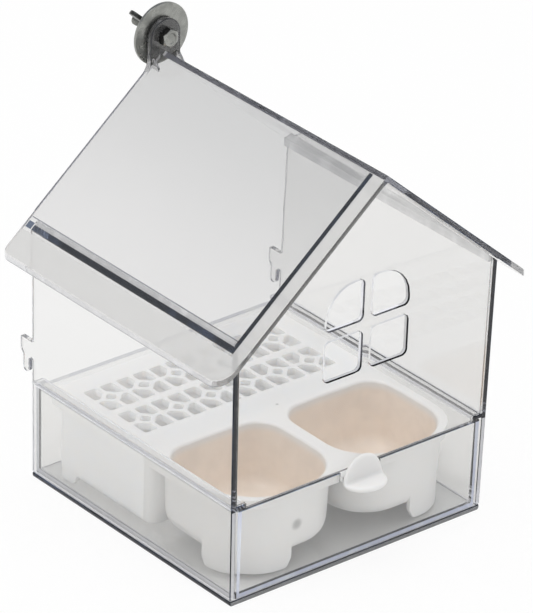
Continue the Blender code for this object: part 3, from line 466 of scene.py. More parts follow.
class StudioSettings(bpy.types.PropertyGroup):
    azimuth: angle("Azimuth", "Camera's turn about the feeder, from its front", -40.4358)
    elevation: angle("Elevation", "Camera's height angle", 27.9524)
    roll: angle("Roll", "Camera's roll", 2.1648)
    distance: length("Distance", "Camera's distance from the target", 2.4529)
    aside: length("Aside", "Camera's shift to its right", 0.00206)
    upward: length("Upward", "Camera's shift upwards", 0.00508)
    target_height: length("Target height", "Height that the camera looks at", 0.09)
    focal_pixels: amount("Focal length", "Focal length in pixels of the frame", 5505.73)
    light: amount("Light", "Strength of the soft light all round", 1.27)
    key: amount("Key", "Power of the large lamp overhead", 11.0)


class FeederLooks(bpy.types.PropertyGroup):
    colours: bpy.props.PointerProperty(type=FeederColours)
    sizes: bpy.props.PointerProperty(type=FeederSizes)
    studio: bpy.props.PointerProperty(type=StudioSettings)


# Meshes


MERGE_DISTANCE = 0.01 * MM
FLAT_ANGLE = math.radians(0.6)
SHARP_ANGLE = math.radians(35)
SMOOTH_ANGLE = math.radians(50)
ROUND_STEPS = 2


def clean_copy(node):
    """The CAD node's mesh with its triangles joined back into whole faces."""
    bm = bmesh.new()
    bm.from_mesh(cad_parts[node].data)
    bmesh.ops.remove_doubles(bm, verts=bm.verts, dist=MERGE_DISTANCE)
    bmesh.ops.dissolve_limit(
        bm, angle_limit=FLAT_ANGLE, verts=bm.verts, edges=bm.edges, delimit={"NORMAL"}
    )
    return bm


def middle_of(edge):
    return (edge.verts[0].co + edge.verts[1].co) / 2


def edge_way(edge):
    return (edge.verts[1].co - edge.verts[0].co).normalized()


def round_edges(bm, width, wanted=None, lines=None):
    """Rounds the sharp edges; lines names the material of each new narrow face."""
    edges = [
        edge
        for edge in bm.edges
        if edge.is_manifold
        and edge.calc_face_angle() > SHARP_ANGLE
        and (wanted is None or wanted(edge))
    ]
    made = bmesh.ops.bevel(
        bm,
        geom=edges,
        offset=width,
        offset_type="OFFSET",
        segments=ROUND_STEPS,
        profile=0.5,
        affect="EDGES",
        clamp_overlap=False,
        loop_slide=True,
    )
    if lines:
        for face in made["faces"]:
            face.material_index = lines(face)


def join_loops(bm, loops):
    """Faces between each loop of points and the next one, which has as many."""
    for near, far in zip(loops, loops[1:]):
        for index in range(len(near)):
            bm.faces.new((near[index - 1], near[index], far[index], far[index - 1]))


def score(bm, point, normal):
    """Cuts the faces along a plane, so that the two sides can differ in finish."""
    parts = bm.verts[:] + bm.edges[:] + bm.faces[:]
    bmesh.ops.bisect_plane(bm, geom=parts, plane_co=point, plane_no=normal)


def paint(bm, chooser):
    for face in bm.faces:
        face.material_index = chooser(face)


def soften(mesh, limit):
    """Shades each corner by the faces round it that turn less than the limit.

    Large faces count the most, so that flat panels stay flat up to their rounds.
    """
    around = [[] for vertex in mesh.vertices]
    for face in mesh.polygons:
        for index in face.vertices:
            around[index].append((face.normal.copy(), face.area))
    least = math.cos(limit)
    normals = []
    for face in mesh.polygons:
        for index in face.vertices:
            total = Vector()
            for normal, area in around[index]:
                if normal.dot(face.normal) > least:
                    total += normal * area
            normals.append(total.normalized())
    mesh.normals_split_custom_set(normals)


def show(name, bm, body, materials, node=None, smooth=SMOOTH_ANGLE):
    """Turns a mesh into a piece that rides on a body and stands for a CAD node."""
    mesh = bpy.data.meshes.new(name)
    bm.to_mesh(mesh)
    bm.free()
    for material in materials:
        mesh.materials.append(material)
    mesh.shade_smooth()
    soften(mesh, smooth)
    piece = bpy.data.objects.new(name, mesh)
    bpy.context.scene.collection.objects.link(piece)
    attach(piece, body)
    if node:
        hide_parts(node)
    return piece


# Finishes of the clear panels' narrow sides, mostly painted light and shade, by the index that a
# face carries


# PALE, FOOT and RIB are painted light; GREY, DARK, SEAM, TAB and LINE are painted shade.
CLEAR, PALE, GREY, DARK, SEAM, FOOT, TAB, EAVES, RIB, LINE = range(10)


def edge_finishes(tints):
    """The finishes in the order PALE, GREY, DARK and so on."""
    return [
        cut_edge("painted_light_edges", tints.painted_light_edges, clarity=0.4),
        cut_edge("grey_shade_edges", tints.edges, clarity=0.8),
        cut_edge("painted_shade_edges", tints.painted_shade_edges, density=1.35),
        # Seams: painted shade, with light streaks as painted glints.
        cut_edge("seams", tints.seams, density=1.2, glint=9.0, grain=60),
        cut_edge("drawer_foot_light", tints.drawer_foot_light, clarity=0.35),
        cut_edge("bolt_tab", tints.tab, clarity=0.9),
        clear_plastic("milky_eaves", tints.eaves, haze=0.68),
        cut_edge("roof_rib_light", tints.ribs, clarity=0.4),
        cut_edge("painted_dark_lines", tints.lines, density=1.15, glint=1.8),
    ]


# How much of a face's normal lies along an axis, for a face that looks that way.
SQUARE_ON = 0.9
MOSTLY = 0.5
PARTLY = 0.3
BARELY = 0.2


# Walls and front


DRAWER_LINE_Z = DRAWER.high.z + 0.3 * MM
LEDGE_TOP_Z = DRAWER_LINE_Z + 3 * MM
GABLE_FOOT_Z = DRAWER_LINE_Z + 1 * MM
UPPER_WALL_Z = 100 * MM
WALL_TOP_Z = 120 * MM
WALL_FOOT_Z = 10 * MM
FRONT_CORNERS_Y = -60 * MM
BACK_EDGES_Y = 70 * MM
WINDOW_HALF_WIDTH = 24 * MM
WINDOW_LOW_Z = 90 * MM
WINDOW_HIGH_Z = 145 * MM
PANE_LINE_Y = GABLE.low.y + 0.8 * MM
PANE_BEVEL = 0.95


def wall_side(face):
    """Dark in front and at the foot, a line under the roof, pale at the back and by the drawer."""
    # Dark, seam and grey are painted shade here, and pale is painted light.
    middle = face.calc_center_median()
    if face.normal.z > MOSTLY and middle.z > UPPER_WALL_Z:
        return SEAM if middle.x < 0 else GREY
    if face.normal.y < -SQUARE_ON:
        return DARK if middle.z > DRAWER_LINE_Z else PALE
    if face.normal.y > SQUARE_ON and middle.y > BACK_EDGES_Y:
        return PALE
    if face.normal.z < -SQUARE_ON and middle.z < WALL_FOOT_Z:
        return DARK
    return CLEAR


def wall_line(face):
    """Pale inside under the roof and round the ledge, and a seam down the front corner."""
    # Pale is painted light here, and the seam painted shade.
    middle = face.calc_center_median()
    if middle.z > UPPER_WALL_Z and abs(face.normal.z) > PARTLY:
        return PALE if face.normal.x * middle.x < 0 else CLEAR
    if middle.y < FRONT_CORNERS_Y:
        seen = middle.x < 0 or middle.z > DRAWER_LINE_Z
        return SEAM if seen and face.normal.x * middle.x > 0 else CLEAR
    return PALE if middle.z < LEDGE_TOP_Z else CLEAR


def wall_edge(edge):
    """Leaves the top of the right wall sharp, which shows through the roof."""
    middle = middle_of(edge)
    return not (middle.x > 0 and middle.z > WALL_TOP_Z)


def in_window(point):
    return abs(point.x) < WINDOW_HALF_WIDTH and WINDOW_LOW_Z < point.z < WINDOW_HIGH_Z


def up_or_left(face):
    return face.normal.x < -BARELY or face.normal.z > BARELY


def front_side(face):
    """A line under the roof and along the foot, and one at the upper left of each pane's cut."""
    # Line, seam, grey and dark are painted shade here, and pale is painted light.
    middle = face.calc_center_median()
    if abs(face.normal.y) > SQUARE_ON:
        return CLEAR
    if in_window(middle):
        return LINE if up_or_left(face) and middle.y < PANE_LINE_Y else PALE
    if face.normal.z > MOSTLY and middle.z > ROOF.low.z:
        return SEAM if middle.x < 0 else GREY
    return DARK if face.normal.z < -SQUARE_ON and middle.z < GABLE_FOOT_Z else CLEAR


def front_line(face):
    """Lines along the left slope, and at the front where a pane's edge faces up or left."""
    # Line and seam are painted shade here.
    middle = face.calc_center_median()
    if in_window(middle):
        in_front = -PANE_BEVEL < face.normal.y < -BARELY
        return LINE if up_or_left(face) and in_front else CLEAR
    if middle.z < GABLE_FOOT_Z:
        return CLEAR
    return SEAM if face.normal.z > BARELY and middle.x < 0 else CLEAR


def front_edge(edge):
    """Leaves the panes' edges sharp where they face down or right."""
    return not in_window(middle_of(edge)) or any(up_or_left(face) for face in edge.link_faces)


def floor_side(face):
    # Grey and dark are painted shade here.
    if abs(face.normal.z) > SQUARE_ON:
        return CLEAR
    return GREY if face.normal.y < -SQUARE_ON else DARK


def floor_line(face):
    # Painted shade: a seam line on all the floor panel's rounds.
    return SEAM


# Roof


WALL_OUTSIDE_X = -LEFT_WALL.low.x
WALL_INSIDE_X = 72.4 * MM
WALL_BACK_Y = 71.2 * MM
RIM_DEPTH = 1.5 * MM
RIDGE_LINE = 1.9 * MM
RIB_INNER_X = 71.0 * MM
RIB_LINE_X = RIB_INNER_X - 0.4 * MM
BACK_LINE_Y = ROOF.high.y - 0.9 * MM
EAVE_START_X = WALL_OUTSIDE_X + 3 * MM
EAVE_START_Y = GABLE.low.y - 1.5 * MM
EAVE_CORNERS_X = ROOF.high.x - 10 * MM
EAVE_CORNERS_Z = 110 * MM
LONG_EDGE = 50 * MM
TAB_FOOT_Z = 186 * MM
TAB_CROWN_Z = 195 * MM
TAB_START_Y = 60 * MM
TAB_HALF_WIDTH = 13 * MM
SLOPE_LEAN = 0.6
DEAD_LEVEL = 0.999
ROOF_LINES_X = (RIDGE_LINE, RIB_LINE_X, RIB_INNER_X, WALL_INSIDE_X, WALL_OUTSIDE_X, EAVE_START_X)
ROOF_LINES_Y = (EAVE_START_Y, WALL_BACK_Y, BACK_LINE_Y)


def on_roof_rim(point):
    across = abs(point.x) > ROOF.high.x - RIM_DEPTH
    return across or abs(point.y - ROOF.middle.y) > ROOF.size.y / 2 - RIM_DEPTH


def roof_side(face):
    """The roof's faces before their edges are rounded, with painted light and shade.

    On top: a dark ridge, milky grey eaves and a line at the left slope's back. Below: dark lines
    by the ribs and behind the left wall, and pale rib sides. Round the rim: the tab's painted
    shade at the left front, dark at the right front, pale at the back and grey at the sides.
    """
    middle = face.calc_center_median()
    behind = middle.y > TAB_START_Y and middle.z > TAB_FOOT_Z
    # Painted shade: the bolt tab, and below the left slope's front rim, take the tab's dark tint.
    if behind and abs(middle.x) < TAB_HALF_WIDTH:
        return TAB
    if face.normal.z < -SLOPE_LEAN:
        if RIB_LINE_X < abs(middle.x) < RIB_INNER_X:
            return DARK
        over_wall = middle.y > WALL_BACK_Y and WALL_INSIDE_X < -middle.x < WALL_OUTSIDE_X
        return SEAM if over_wall else CLEAR
    if face.normal.z > SLOPE_LEAN:
        if abs(middle.x) < RIDGE_LINE:
            return LINE
        if middle.y > BACK_LINE_Y and -middle.x < WALL_OUTSIDE_X:
            return DARK if middle.x < 0 else CLEAR
        outside = abs(middle.x) > EAVE_START_X or middle.y < EAVE_START_Y
        return EAVES if outside else CLEAR
    if not on_roof_rim(middle):
        # Painted light on the ribs' long sides.
        return RIB if abs(face.normal.x) > SQUARE_ON else CLEAR
    if face.normal.y > MOSTLY:
        return PALE
    if face.normal.y < -MOSTLY and middle.x < WALL_OUTSIDE_X:
        return TAB if middle.x < 0 else DARK
    return GREY


def roof_line(face):
    """Dark round the tab's crown and under the left slope's rim, and a seam at the right front."""
    # Dark and seam here are painted shade.
    middle = face.calc_center_median()
    if middle.z > TAB_CROWN_Z:
        return DARK
    if middle.x < 0:
        return DARK if face.normal.z < -PARTLY and middle.y < WALL_BACK_Y else CLEAR
    return SEAM if middle.x < WALL_OUTSIDE_X and middle.y < 0 else CLEAR


def roof_edge(edge):
    """True for the roof's rim with its round corners, and for the bolt tab's crown.

    The two upper edges at the back run into the tab's foot, and stay as they are.
    """
    middle = middle_of(edge)
    way = edge_way(edge)
    if abs(way.z) > MOSTLY and edge.calc_length() > LONG_EDGE and middle.y > 0:
        return False
    in_corner = abs(middle.x) > EAVE_CORNERS_X and middle.z > EAVE_CORNERS_Z
    at_rim = on_roof_rim(middle) or (in_corner and abs(way.y) <= DEAD_LEVEL)
    return (at_rim and abs(middle.x) > TAB_HALF_WIDTH) or middle.z > TAB_CROWN_Z


class FEEDER_OT_house(bpy.types.Operator):
    """Dresses the floor, the walls, the front and the roof"""

    bl_idname = "feeder.house"
    bl_label = "House panels"

    def execute(self, context):
        looks = context.scene.feeder_looks
        tints = looks.colours
        edges = edge_finishes(tints)
        walls = clear_plastic("clear_walls", tints.walls, haze=0.01)
        clear_floor = clear_plastic("clear_floor", tints.floor, haze=0.03)
        clear_roof = clear_plastic("clear_roof", tints.roof, haze=0.01, upper=tints.roof_top_shade)
        panels = (
            ("left_wall", "clear_left_wall", walls, wall_side, wall_line, wall_edge),
            ("right_wall", "clear_right_wall", walls, wall_side, wall_line, wall_edge),
            ("front_gable", "clear_front", walls, front_side, front_line, front_edge),
            ("floor_panel", "clear_floor", clear_floor, floor_side, floor_line, None),
            ("roof", "clear_roof", clear_roof, roof_side, roof_line, roof_edge),
        )
        for node, slot, clear, side, line, wanted in panels:
            bm = clean_copy(node)
            if node == "roof":
                for side_x in ROOF_LINES_X:
                    score(bm, (side_x, 0, 0), (1, 0, 0))
                    score(bm, (-side_x, 0, 0), (1, 0, 0))
                for side_y in ROOF_LINES_Y:
                    score(bm, (0, side_y, 0), (0, 1, 0))
            else:
                score(bm, (0, 0, DRAWER_LINE_Z), (0, 0, 1))
            if node == "front_gable":
                score(bm, (0, PANE_LINE_Y, 0), (0, 1, 0))
            paint(bm, side)
            round_edges(bm, looks.sizes.panel_round, wanted=wanted, lines=line)
            show(node + "_clear", bm, "house", [clear, *edges], node)
        return {"FINISHED"}


# Drawer


DRAWER_FLOOR_Z = 5.2 * MM
DRAWER_WALL = 2.9 * MM
DRAWER_INSIDE_X = DRAWER.high.x - DRAWER_WALL
DRAWER_INSIDE_Y = DRAWER.high.y - DRAWER_WALL
RIM_LINE_Z = DRAWER.high.z - 0.4 * MM
RIM_Z = DRAWER.high.z - 1 * MM
RIM_EDGE_Z = DRAWER.high.z - 0.05 * MM
FRONT_EDGE_Y = DRAWER.low.y + 0.1 * MM
FRONT_FACE_Y = DRAWER.low.y + 1 * MM
FRONT_RIM_Y = DRAWER.low.y + 3 * MM
BACK_RIM_Y = DRAWER_INSIDE_Y - 1 * MM
DRAWER_CORNERS_Y = 60 * MM
UPRIGHT = 0.1


def outward(face, least):
    """True for a face that looks away from the middle plane by at least this much."""
    middle_x = face.calc_center_median().x
    return face.normal.x * middle_x > least * abs(middle_x)


def drawer_side(face):
    """Painted light where the drawer's floor and sides end behind a face, painted lines along its
    rims.
    """
    middle = face.calc_center_median()
    low = middle.z < DRAWER_FLOOR_Z
    if face.normal.y < -SQUARE_ON and middle.y < FRONT_FACE_Y:
        if middle.z > RIM_LINE_Z:
            return SEAM
        # Painted light: the lavender glow where the floor and sides end behind the front.
        return FOOT if low or abs(middle.x) > DRAWER_INSIDE_X else CLEAR
    if outward(face, SQUARE_ON):
        return PALE if low or middle.y > DRAWER_INSIDE_Y else CLEAR
    if face.normal.z > SQUARE_ON and middle.z > RIM_Z and middle.y > DRAWER_INSIDE_Y:
        return PALE
    return CLEAR


def drawer_line(face):
    """Painted light and shade on the rims' rounds: clear in front, pale at the back, dark outside,
    grey inside.
    """
    middle = face.calc_center_median()
    if middle.z > RIM_Z:
        if middle.y < FRONT_RIM_Y:
            return CLEAR
        if middle.y > BACK_RIM_Y:
            return PALE
        return DARK if outward(face, MOSTLY) else GREY
    at_back_corner = abs(face.normal.z) < UPRIGHT and middle.y > DRAWER_CORNERS_Y
    return PALE if at_back_corner else CLEAR


def drawer_edge(edge):
    """Leaves the front's outer upper edge sharp, as it is trimmed."""
    middle = middle_of(edge)
    return middle.y > FRONT_EDGE_Y or middle.z < RIM_EDGE_Z


class FEEDER_OT_drawer(bpy.types.Operator):
    """Dresses the clear drawer, whose narrow sides have the roof's finishes"""

    bl_idname = "feeder.drawer"
    bl_label = "Drawer"

    def execute(self, context):
        looks = context.scene.feeder_looks
        clear = clear_plastic("clear_drawer", looks.colours.drawer, haze=0.02)
        bm = clean_copy("drawer")
        for height in (DRAWER_FLOOR_Z, RIM_LINE_Z):
            score(bm, (0, 0, height), (0, 0, 1))
        score(bm, (0, DRAWER_INSIDE_Y, 0), (0, 1, 0))
        for side_x in (-DRAWER_INSIDE_X, DRAWER_INSIDE_X):
            score(bm, (side_x, 0, 0), (1, 0, 0))
        paint(bm, drawer_side)
        round_edges(bm, looks.sizes.panel_round, wanted=drawer_edge, lines=drawer_line)
        edges = bpy.data.objects["roof_clear"].data.materials[1:]
        show("drawer_clear", bm, "drawer_with_tray", [clear, *edges], "drawer")
        return {"FINISHED"}


# Seed tray


WHITE, WARM, THIN = range(3)
CUP_MIDDLE_X = 32.62 * MM
CUP_MIDDLE_Y = -36.1 * MM
CUP_REACH = 24.0 * MM
CUP_FLOOR_LOW_Z = 8 * MM
CUP_FLOOR_HIGH_Z = 20 * MM
LATTICE_START_Y = -4.0 * MM
TRAY_PASSES = 0.9
LEVEL = 0.99
CLOSE_BY = 0.05 * MM
DECK_SLACK = 0.02 * MM


def on_deck(face):
    middle = face.calc_center_median()
    return face.normal.z > DEAD_LEVEL and abs(middle.z - DECK_TOP_Z) < DECK_SLACK


def on_cup_floor(face):
    middle = face.calc_center_median()
    return (
        face.normal.z > LEVEL
        and CUP_FLOOR_LOW_Z < middle.z < CUP_FLOOR_HIGH_Z
        and abs(abs(middle.x) - CUP_MIDDLE_X) < CUP_REACH
        and abs(middle.y - CUP_MIDDLE_Y) < CUP_REACH
    )


def cup_faces(bm):
    """The faces inside both cups: their floors, and what rises from these up to the deck."""
    found = {face for face in bm.faces if on_cup_floor(face)}
    edge_of_fill = list(found)
    while edge_of_fill:
        face = edge_of_fill.pop()
        for edge in face.edges:
            for other in edge.link_faces:
                if other not in found and not on_deck(other):
                    found.add(other)
                    edge_of_fill.append(other)
    return found


def tray_part(face, inside):
    """Warm in the cups, thin-walled behind them, and white elsewhere."""
    if face in inside:
        return WARM
    return THIN if face.calc_center_median().y > LATTICE_START_Y else WHITE


def tray_edge(edge):
    """True for the tray's edges that a hand or a beak meets: the deck's and the feet's."""
    middle = middle_of(edge)
    return middle.z > DECK_TOP_Z - CLOSE_BY or middle.z < TRAY.low.z + CLOSE_BY


# Thumb tongue


TONGUE_BACK_Y = -71.5 * MM
TONGUE_TOP_Z = 53.6 * MM
LIP_RISE = math.radians(4)
LIP_SWELL = 0.5
LIP_EASE = 0.4
LIP_START = 0.15
FULL_ROUND_FROM = 0.86


def without_tongue(bm):
    """Takes off the plain tongue in front of the drawer and leaves the bridge that carries it."""
    parts = bm.verts[:] + bm.edges[:] + bm.faces[:]
    bmesh.ops.bisect_plane(
        bm,
        geom=parts,
        plane_co=(0, TONGUE_BACK_Y - CLOSE_BY, 0),
        plane_no=(0, -1, 0),
        clear_outer=True,
    )
    cut_y = TONGUE_BACK_Y + CLOSE_BY
    plate = [face for face in bm.faces if face.calc_center_median().y < cut_y]
    bmesh.ops.delete(bm, geom=plate, context="FACES")
    deck = [face for face in bm.faces if on_deck(face)]
    bmesh.ops.triangulate(bm, faces=deck, ngon_method="BEAUTY")
    return bm


def tongue_fold(along, bend):
    """Point and outward direction on the tongue's middle sheet.

    Along is measured from the middle of the bend, up the plate or, below 0, out along the lip.
    """
    quarter = bend * math.pi / 4
    if along > quarter:
        return Vector((0, 0, bend + along - quarter)), Vector((0, -1, 0))
    if along < -quarter:
        run = -quarter - along
        away = Vector((0, -math.cos(LIP_RISE), math.sin(LIP_RISE)))
        outward_way = Vector((0, math.sin(LIP_RISE), math.cos(LIP_RISE)))
        return Vector((0, -bend, 0)) + away * run, outward_way
    turn = (quarter - along) / bend
    point = Vector((0, -bend + bend * math.cos(turn), bend - bend * math.sin(turn)))
    return point, Vector((0, -math.cos(turn), math.sin(turn)))


def tongue_half(share, along, out, thickness):
    """Half the tongue's thickness: more in the lip, and none at the end of its round rim."""
    lip = max(0.0, min(1.0, -along / out + LIP_START))
    rim = max(0.0, (share - FULL_ROUND_FROM) / (1 - FULL_ROUND_FROM))
    swell = 1 + LIP_SWELL * lip * (1 - lip * LIP_EASE)
    return thickness / 2 * swell * math.sqrt(max(0.0, 1 - rim * rim))


def tongue(sizes, rings=14, spokes=64):
    """Thumb tongue: a round sheet folded into an upright plate and a lip, with round rims."""
    half_width = sizes.tongue_width / 2
    bend = sizes.tongue_bend
    quarter = bend * math.pi / 4
    up = sizes.tongue_rise - bend + quarter
    out = sizes.tongue_reach - bend + quarter
    layers = []
    for front in (1, -1):
        layer = []
        for ring in range(1, rings + 1):
            share = math.sin(math.pi / 2 * ring / rings)
            row = []
            for spoke in range(spokes):
                turn = FULL_TURN * spoke / spokes
                along = share * math.sin(turn) * (up if math.sin(turn) > 0 else out)
                point, normal = tongue_fold(along, bend)
                half = tongue_half(share, along, out, sizes.tongue_thickness)
                point = point + normal * half * front
                row.append(Vector((share * math.cos(turn) * half_width, point.y, point.z)))
            layer.append(row)
        layers.append(layer)
    front, back = layers
    bm = bmesh.new()
    loops = [[bm.verts.new(place) for place in row] for row in front + back[-2::-1]]
    join_loops(bm, loops)
    point, normal = tongue_fold(0, bend)
    for loop, side in ((loops[0], 1), (loops[-1], -1)):
        centre = bm.verts.new(point + normal * side * sizes.tongue_thickness / 2)
        for index in range(spokes):
            bm.faces.new((loop[index - 1], loop[index], centre))
    bmesh.ops.recalc_face_normals(bm, faces=bm.faces)
    middle_y = TONGUE_BACK_Y - sizes.tongue_thickness / 2
    bmesh.ops.translate(bm, verts=bm.verts, vec=(0, middle_y, TONGUE_TOP_Z - sizes.tongue_rise))
    return bm


class FEEDER_OT_tray(bpy.types.Operator):
    """Dresses the white tray, its cups, its lattice and its tongue"""

    bl_idname = "feeder.tray"
    bl_label = "Seed tray"

    def execute(self, context):
        looks = context.scene.feeder_looks
        colours = looks.colours
        white = tray_plastic("tray_white", colours.tray)
        warm = tray_plastic("cup_inside", colours.tray, warm=colours.cups)
        thin = tray_plastic("lattice_white_painted_light", colours.tray, passes=TRAY_PASSES)
        bm = without_tongue(clean_copy("seed_tray"))
        inside = cup_faces(bm)
        score(bm, (0, LATTICE_START_Y, 0), (0, 1, 0))
        paint(bm, lambda face: tray_part(face, inside))
        round_edges(bm, looks.sizes.tray_round, wanted=tray_edge)
        finishes = [white, warm, thin]
        show("seed_tray_white", bm, "drawer_with_tray", finishes, "seed_tray")
        show("thumb_tongue", tongue(looks.sizes), "drawer_with_tray", [white])
        return {"FINISHED"}


# Clamp


STEEL_CREASE = math.radians(25)
WASHER_STEPS = 96
CORNER_STEPS = 3
SIXTH_TURN = math.pi / 3
TWELFTH_TURN = math.pi / 6
# The dish in the head's face: shares of the half width, and of the height that it sinks.
HEAD_DISH = ((0.3, 0.11), (0.55, 0.11), (0.66, 0.03), (0.72, 0.0))
HEAD_FACE = 0.9
HEAD_SIDE = 0.1
THREAD_FLANK = 1.25
CASTING_PASSES = 6
CASTING_EASE = 0.5


def skin(bm, loops):
    """Joins the loops in turn, and closes both ends."""
    join_loops(bm, loops)
    bm.faces.new(loops[0])
    bm.faces.new(loops[-1])
    bmesh.ops.recalc_face_normals(bm, faces=bm.faces)


def turned(profile, steps):
    """A closed ring of (radius, height) points turned about Z."""
    bm = bmesh.new()
    rings = []
    for step in range(steps):
        turn = Matrix.Rotation(FULL_TURN * step / steps, 3, "Z")
        rings.append([bm.verts.new(turn @ Vector((radius, 0, z))) for radius, z in profile])
    join_loops(bm, rings + rings[:1])
    bmesh.ops.recalc_face_normals(bm, faces=bm.faces)
    return bm


def ring_profile(inner, outer, near, far, radius):
    """A washer's section with rounded corners."""
    corners = (
        (inner, near, 1, 1, math.pi),
        (outer, near, -1, 1, 1.5 * math.pi),
        (outer, far, -1, -1, 0),
        (inner, far, 1, -1, 0.5 * math.pi),
    )
    points = []
    for x, z, along, up, start in corners:
        centre_x, centre_z = x + along * radius, z + up * radius
        for step in range(CORNER_STEPS + 1):
            turn = start + math.pi / 2 * step / CORNER_STEPS
            place = (centre_x + radius * math.cos(turn), centre_z + radius * math.sin(turn))
            points.append(place)
    return points


def along_bolt(bm, y, axis_z):
    """Lays a mesh made about Z along the bolt, its Z towards the back."""
    matrix = Matrix.Translation((0, y, axis_z)) @ Matrix.Rotation(-math.pi / 2, 4, "X")
    bmesh.ops.transform(bm, matrix=matrix, verts=bm.verts)
    return bm


def hex_head(bm, flat, height, facets=96, steps=4):
    """Hexagon head with a shallow dish, its front corners turned off in a shallow cone.

    Flat is half its width across flats, and steps is how many rings the cone has.
    """
    slope = math.tan(TWELFTH_TURN)
    face_radius = HEAD_FACE * flat
    rings = [[(share * flat, -height * (1 - sink))] * facets for share, sink in HEAD_DISH]
    turns = [FULL_TURN * index / facets for index in range(facets)]
    for step in range(steps + 1):
        ring = []
        for turn in turns:
            sector = (turn + TWELFTH_TURN) % SIXTH_TURN - TWELFTH_TURN
            reach = flat / math.cos(sector)
            radius = face_radius + (reach - face_radius) * step / steps
            ring.append((radius, -height + (radius - face_radius) * slope))
        rings.append(ring)
    rings.append([(radius, 0) for radius, z in rings[-1]])
    loops = []
    for ring in rings:
        places = [(r * math.cos(t), r * math.sin(t), z) for (r, z), t in zip(ring, turns)]
        loops.append([bm.verts.new(place) for place in places])
    skin(bm, loops)


def threaded_shank(bm, radius, reach, pitch, depth, around=28, fine=10):
    """Shank with a thread that winds along it and runs out in a chamfer at its end.

    Around is how many points a ring has, and fine how many rings a pitch has.
    """
    loops = []
    rows = round(reach / pitch * fine)
    for row in range(rows + 1):
        z = reach * row / rows
        loop = []
        for index in range(around):
            share = index / around
            wave = abs(2 * ((z / pitch - share) % 1) - 1)
            crest = min(1.0, max(0.0, THREAD_FLANK * wave - (THREAD_FLANK - 1) / 2))
            local = radius - depth * (1 - crest)
            local = min(local, radius - depth + reach - z)
            turn = FULL_TURN * share
            loop.append(bm.verts.new((local * math.cos(turn), local * math.sin(turn), z)))
        loops.append(loop)
    skin(bm, loops)


def cast(bm, voxel):
    """Rounds a solid all over as a casting is, through a fine voxel skin."""
    mesh = bpy.data.meshes.new("casting")
    bm.to_mesh(mesh)
    bm.free()
    blank = bpy.data.objects.new("casting", mesh)
    bpy.context.scene.collection.objects.link(blank)
    skin_over = blank.modifiers.new("skin", "REMESH")
    skin_over.mode = "VOXEL"
    skin_over.voxel_size = voxel
    ease = blank.modifiers.new("ease", "SMOOTH")
    ease.factor = CASTING_EASE
    ease.iterations = CASTING_PASSES
    made = blank.evaluated_get(bpy.context.evaluated_depsgraph_get()).to_mesh()
    rounded = bmesh.new()
    rounded.from_mesh(made)
    bpy.data.objects.remove(blank)
    bpy.data.meshes.remove(mesh)
    return rounded


class FEEDER_OT_clamp(bpy.types.Operator):
    """Makes the bolt, the washer and the wing nut"""

    bl_idname = "feeder.clamp"
    bl_label = "Bolt, washer and wing nut"

    def execute(self, context):
        looks = context.scene.feeder_looks
        sizes = looks.sizes
        steel = plated_steel("zinc_plated_steel", looks.colours.steel)
        # Painted shade for the wing nut and the sides of the bolt's head and shank.
        dark = plated_steel("steel_painted_shade", looks.colours.steel_painted_shade)
        axis_z = WASHER.middle.z
        profile = ring_profile(
            sizes.washer_hole / 2, WASHER.size.x / 2, 0, WASHER.size.y, sizes.washer_round
        )
        ring = along_bolt(turned(profile, WASHER_STEPS), WASHER.low.y, axis_z)
        show("washer_plated", ring, "washer", [steel], "fender_washer")
        nut = cast(clean_copy("wing_nut"), sizes.casting_grain)
        show("wing_nut_plated", nut, "wing_nut", [dark], "wing_nut")
        bolt = self.bolt(sizes, axis_z)
        finishes = [steel, dark]
        show("hex_bolt_plated", bolt, "house", finishes, "hex_bolt", STEEL_CREASE)
        return {"FINISHED"}

    def bolt(self, sizes, axis_z):
        """The bolt's mesh, with painted shade on the sides of its head and shank."""
        bm = bmesh.new()
        hex_head(bm, sizes.head_across_flats / 2, sizes.head_height)
        reach = BOLT.size.y - sizes.head_height
        radius = sizes.bolt_diameter / 2
        threaded_shank(bm, radius, reach, sizes.thread_pitch, sizes.thread_depth)
        along_bolt(bm, BOLT.low.y + sizes.head_height, axis_z)
        paint(bm, lambda face: 1 if abs(face.normal.y) < HEAD_SIDE else 0)
        return bm


# Studio


WHITE_PAPER = (1, 1, 1)
PALE_BOARD = (0.78, 0.78, 0.777)
WHITE_THROUGH_CLEAR = (0.84, 0.84, 0.835)
# Share of the floor that shines white to the eye, and how much less does behind clear pieces.
WHITE_SHARE = 0.9
WHITE_LOST = 0.84
FLOOR_RADIUS = 12.0
FLOOR_SIDES = 64
FLOOR_DROP = 0.1 * MM

# The world's tones, and the heights or turns between which they change.
SEEN_CEILING = (0.28, 0.3, 0.34)
SEEN_RANGE = (0.1, 0.75)
LOW_FRONT = (0.12, 0.12, 0.122)
LOW_SIDES = (1.5, 1.5, 1.51)
SIDES_RANGE = (0.5, 0.95)
HIGH_WALLS = (0.47, 0.47, 0.472)
HIGH_CEILING = (0.93, 0.93, 0.93)
CEILING_RANGE = (0.3, 0.95)
HORIZON_RANGE = (0.0, 0.35)

LAMP_SIZE = 1.2
LAMP_PLACE = (-0.4, 0.1, 1.8)
SENSOR = 36.0
FRAME_HEIGHT = 613
FAR_END = 40


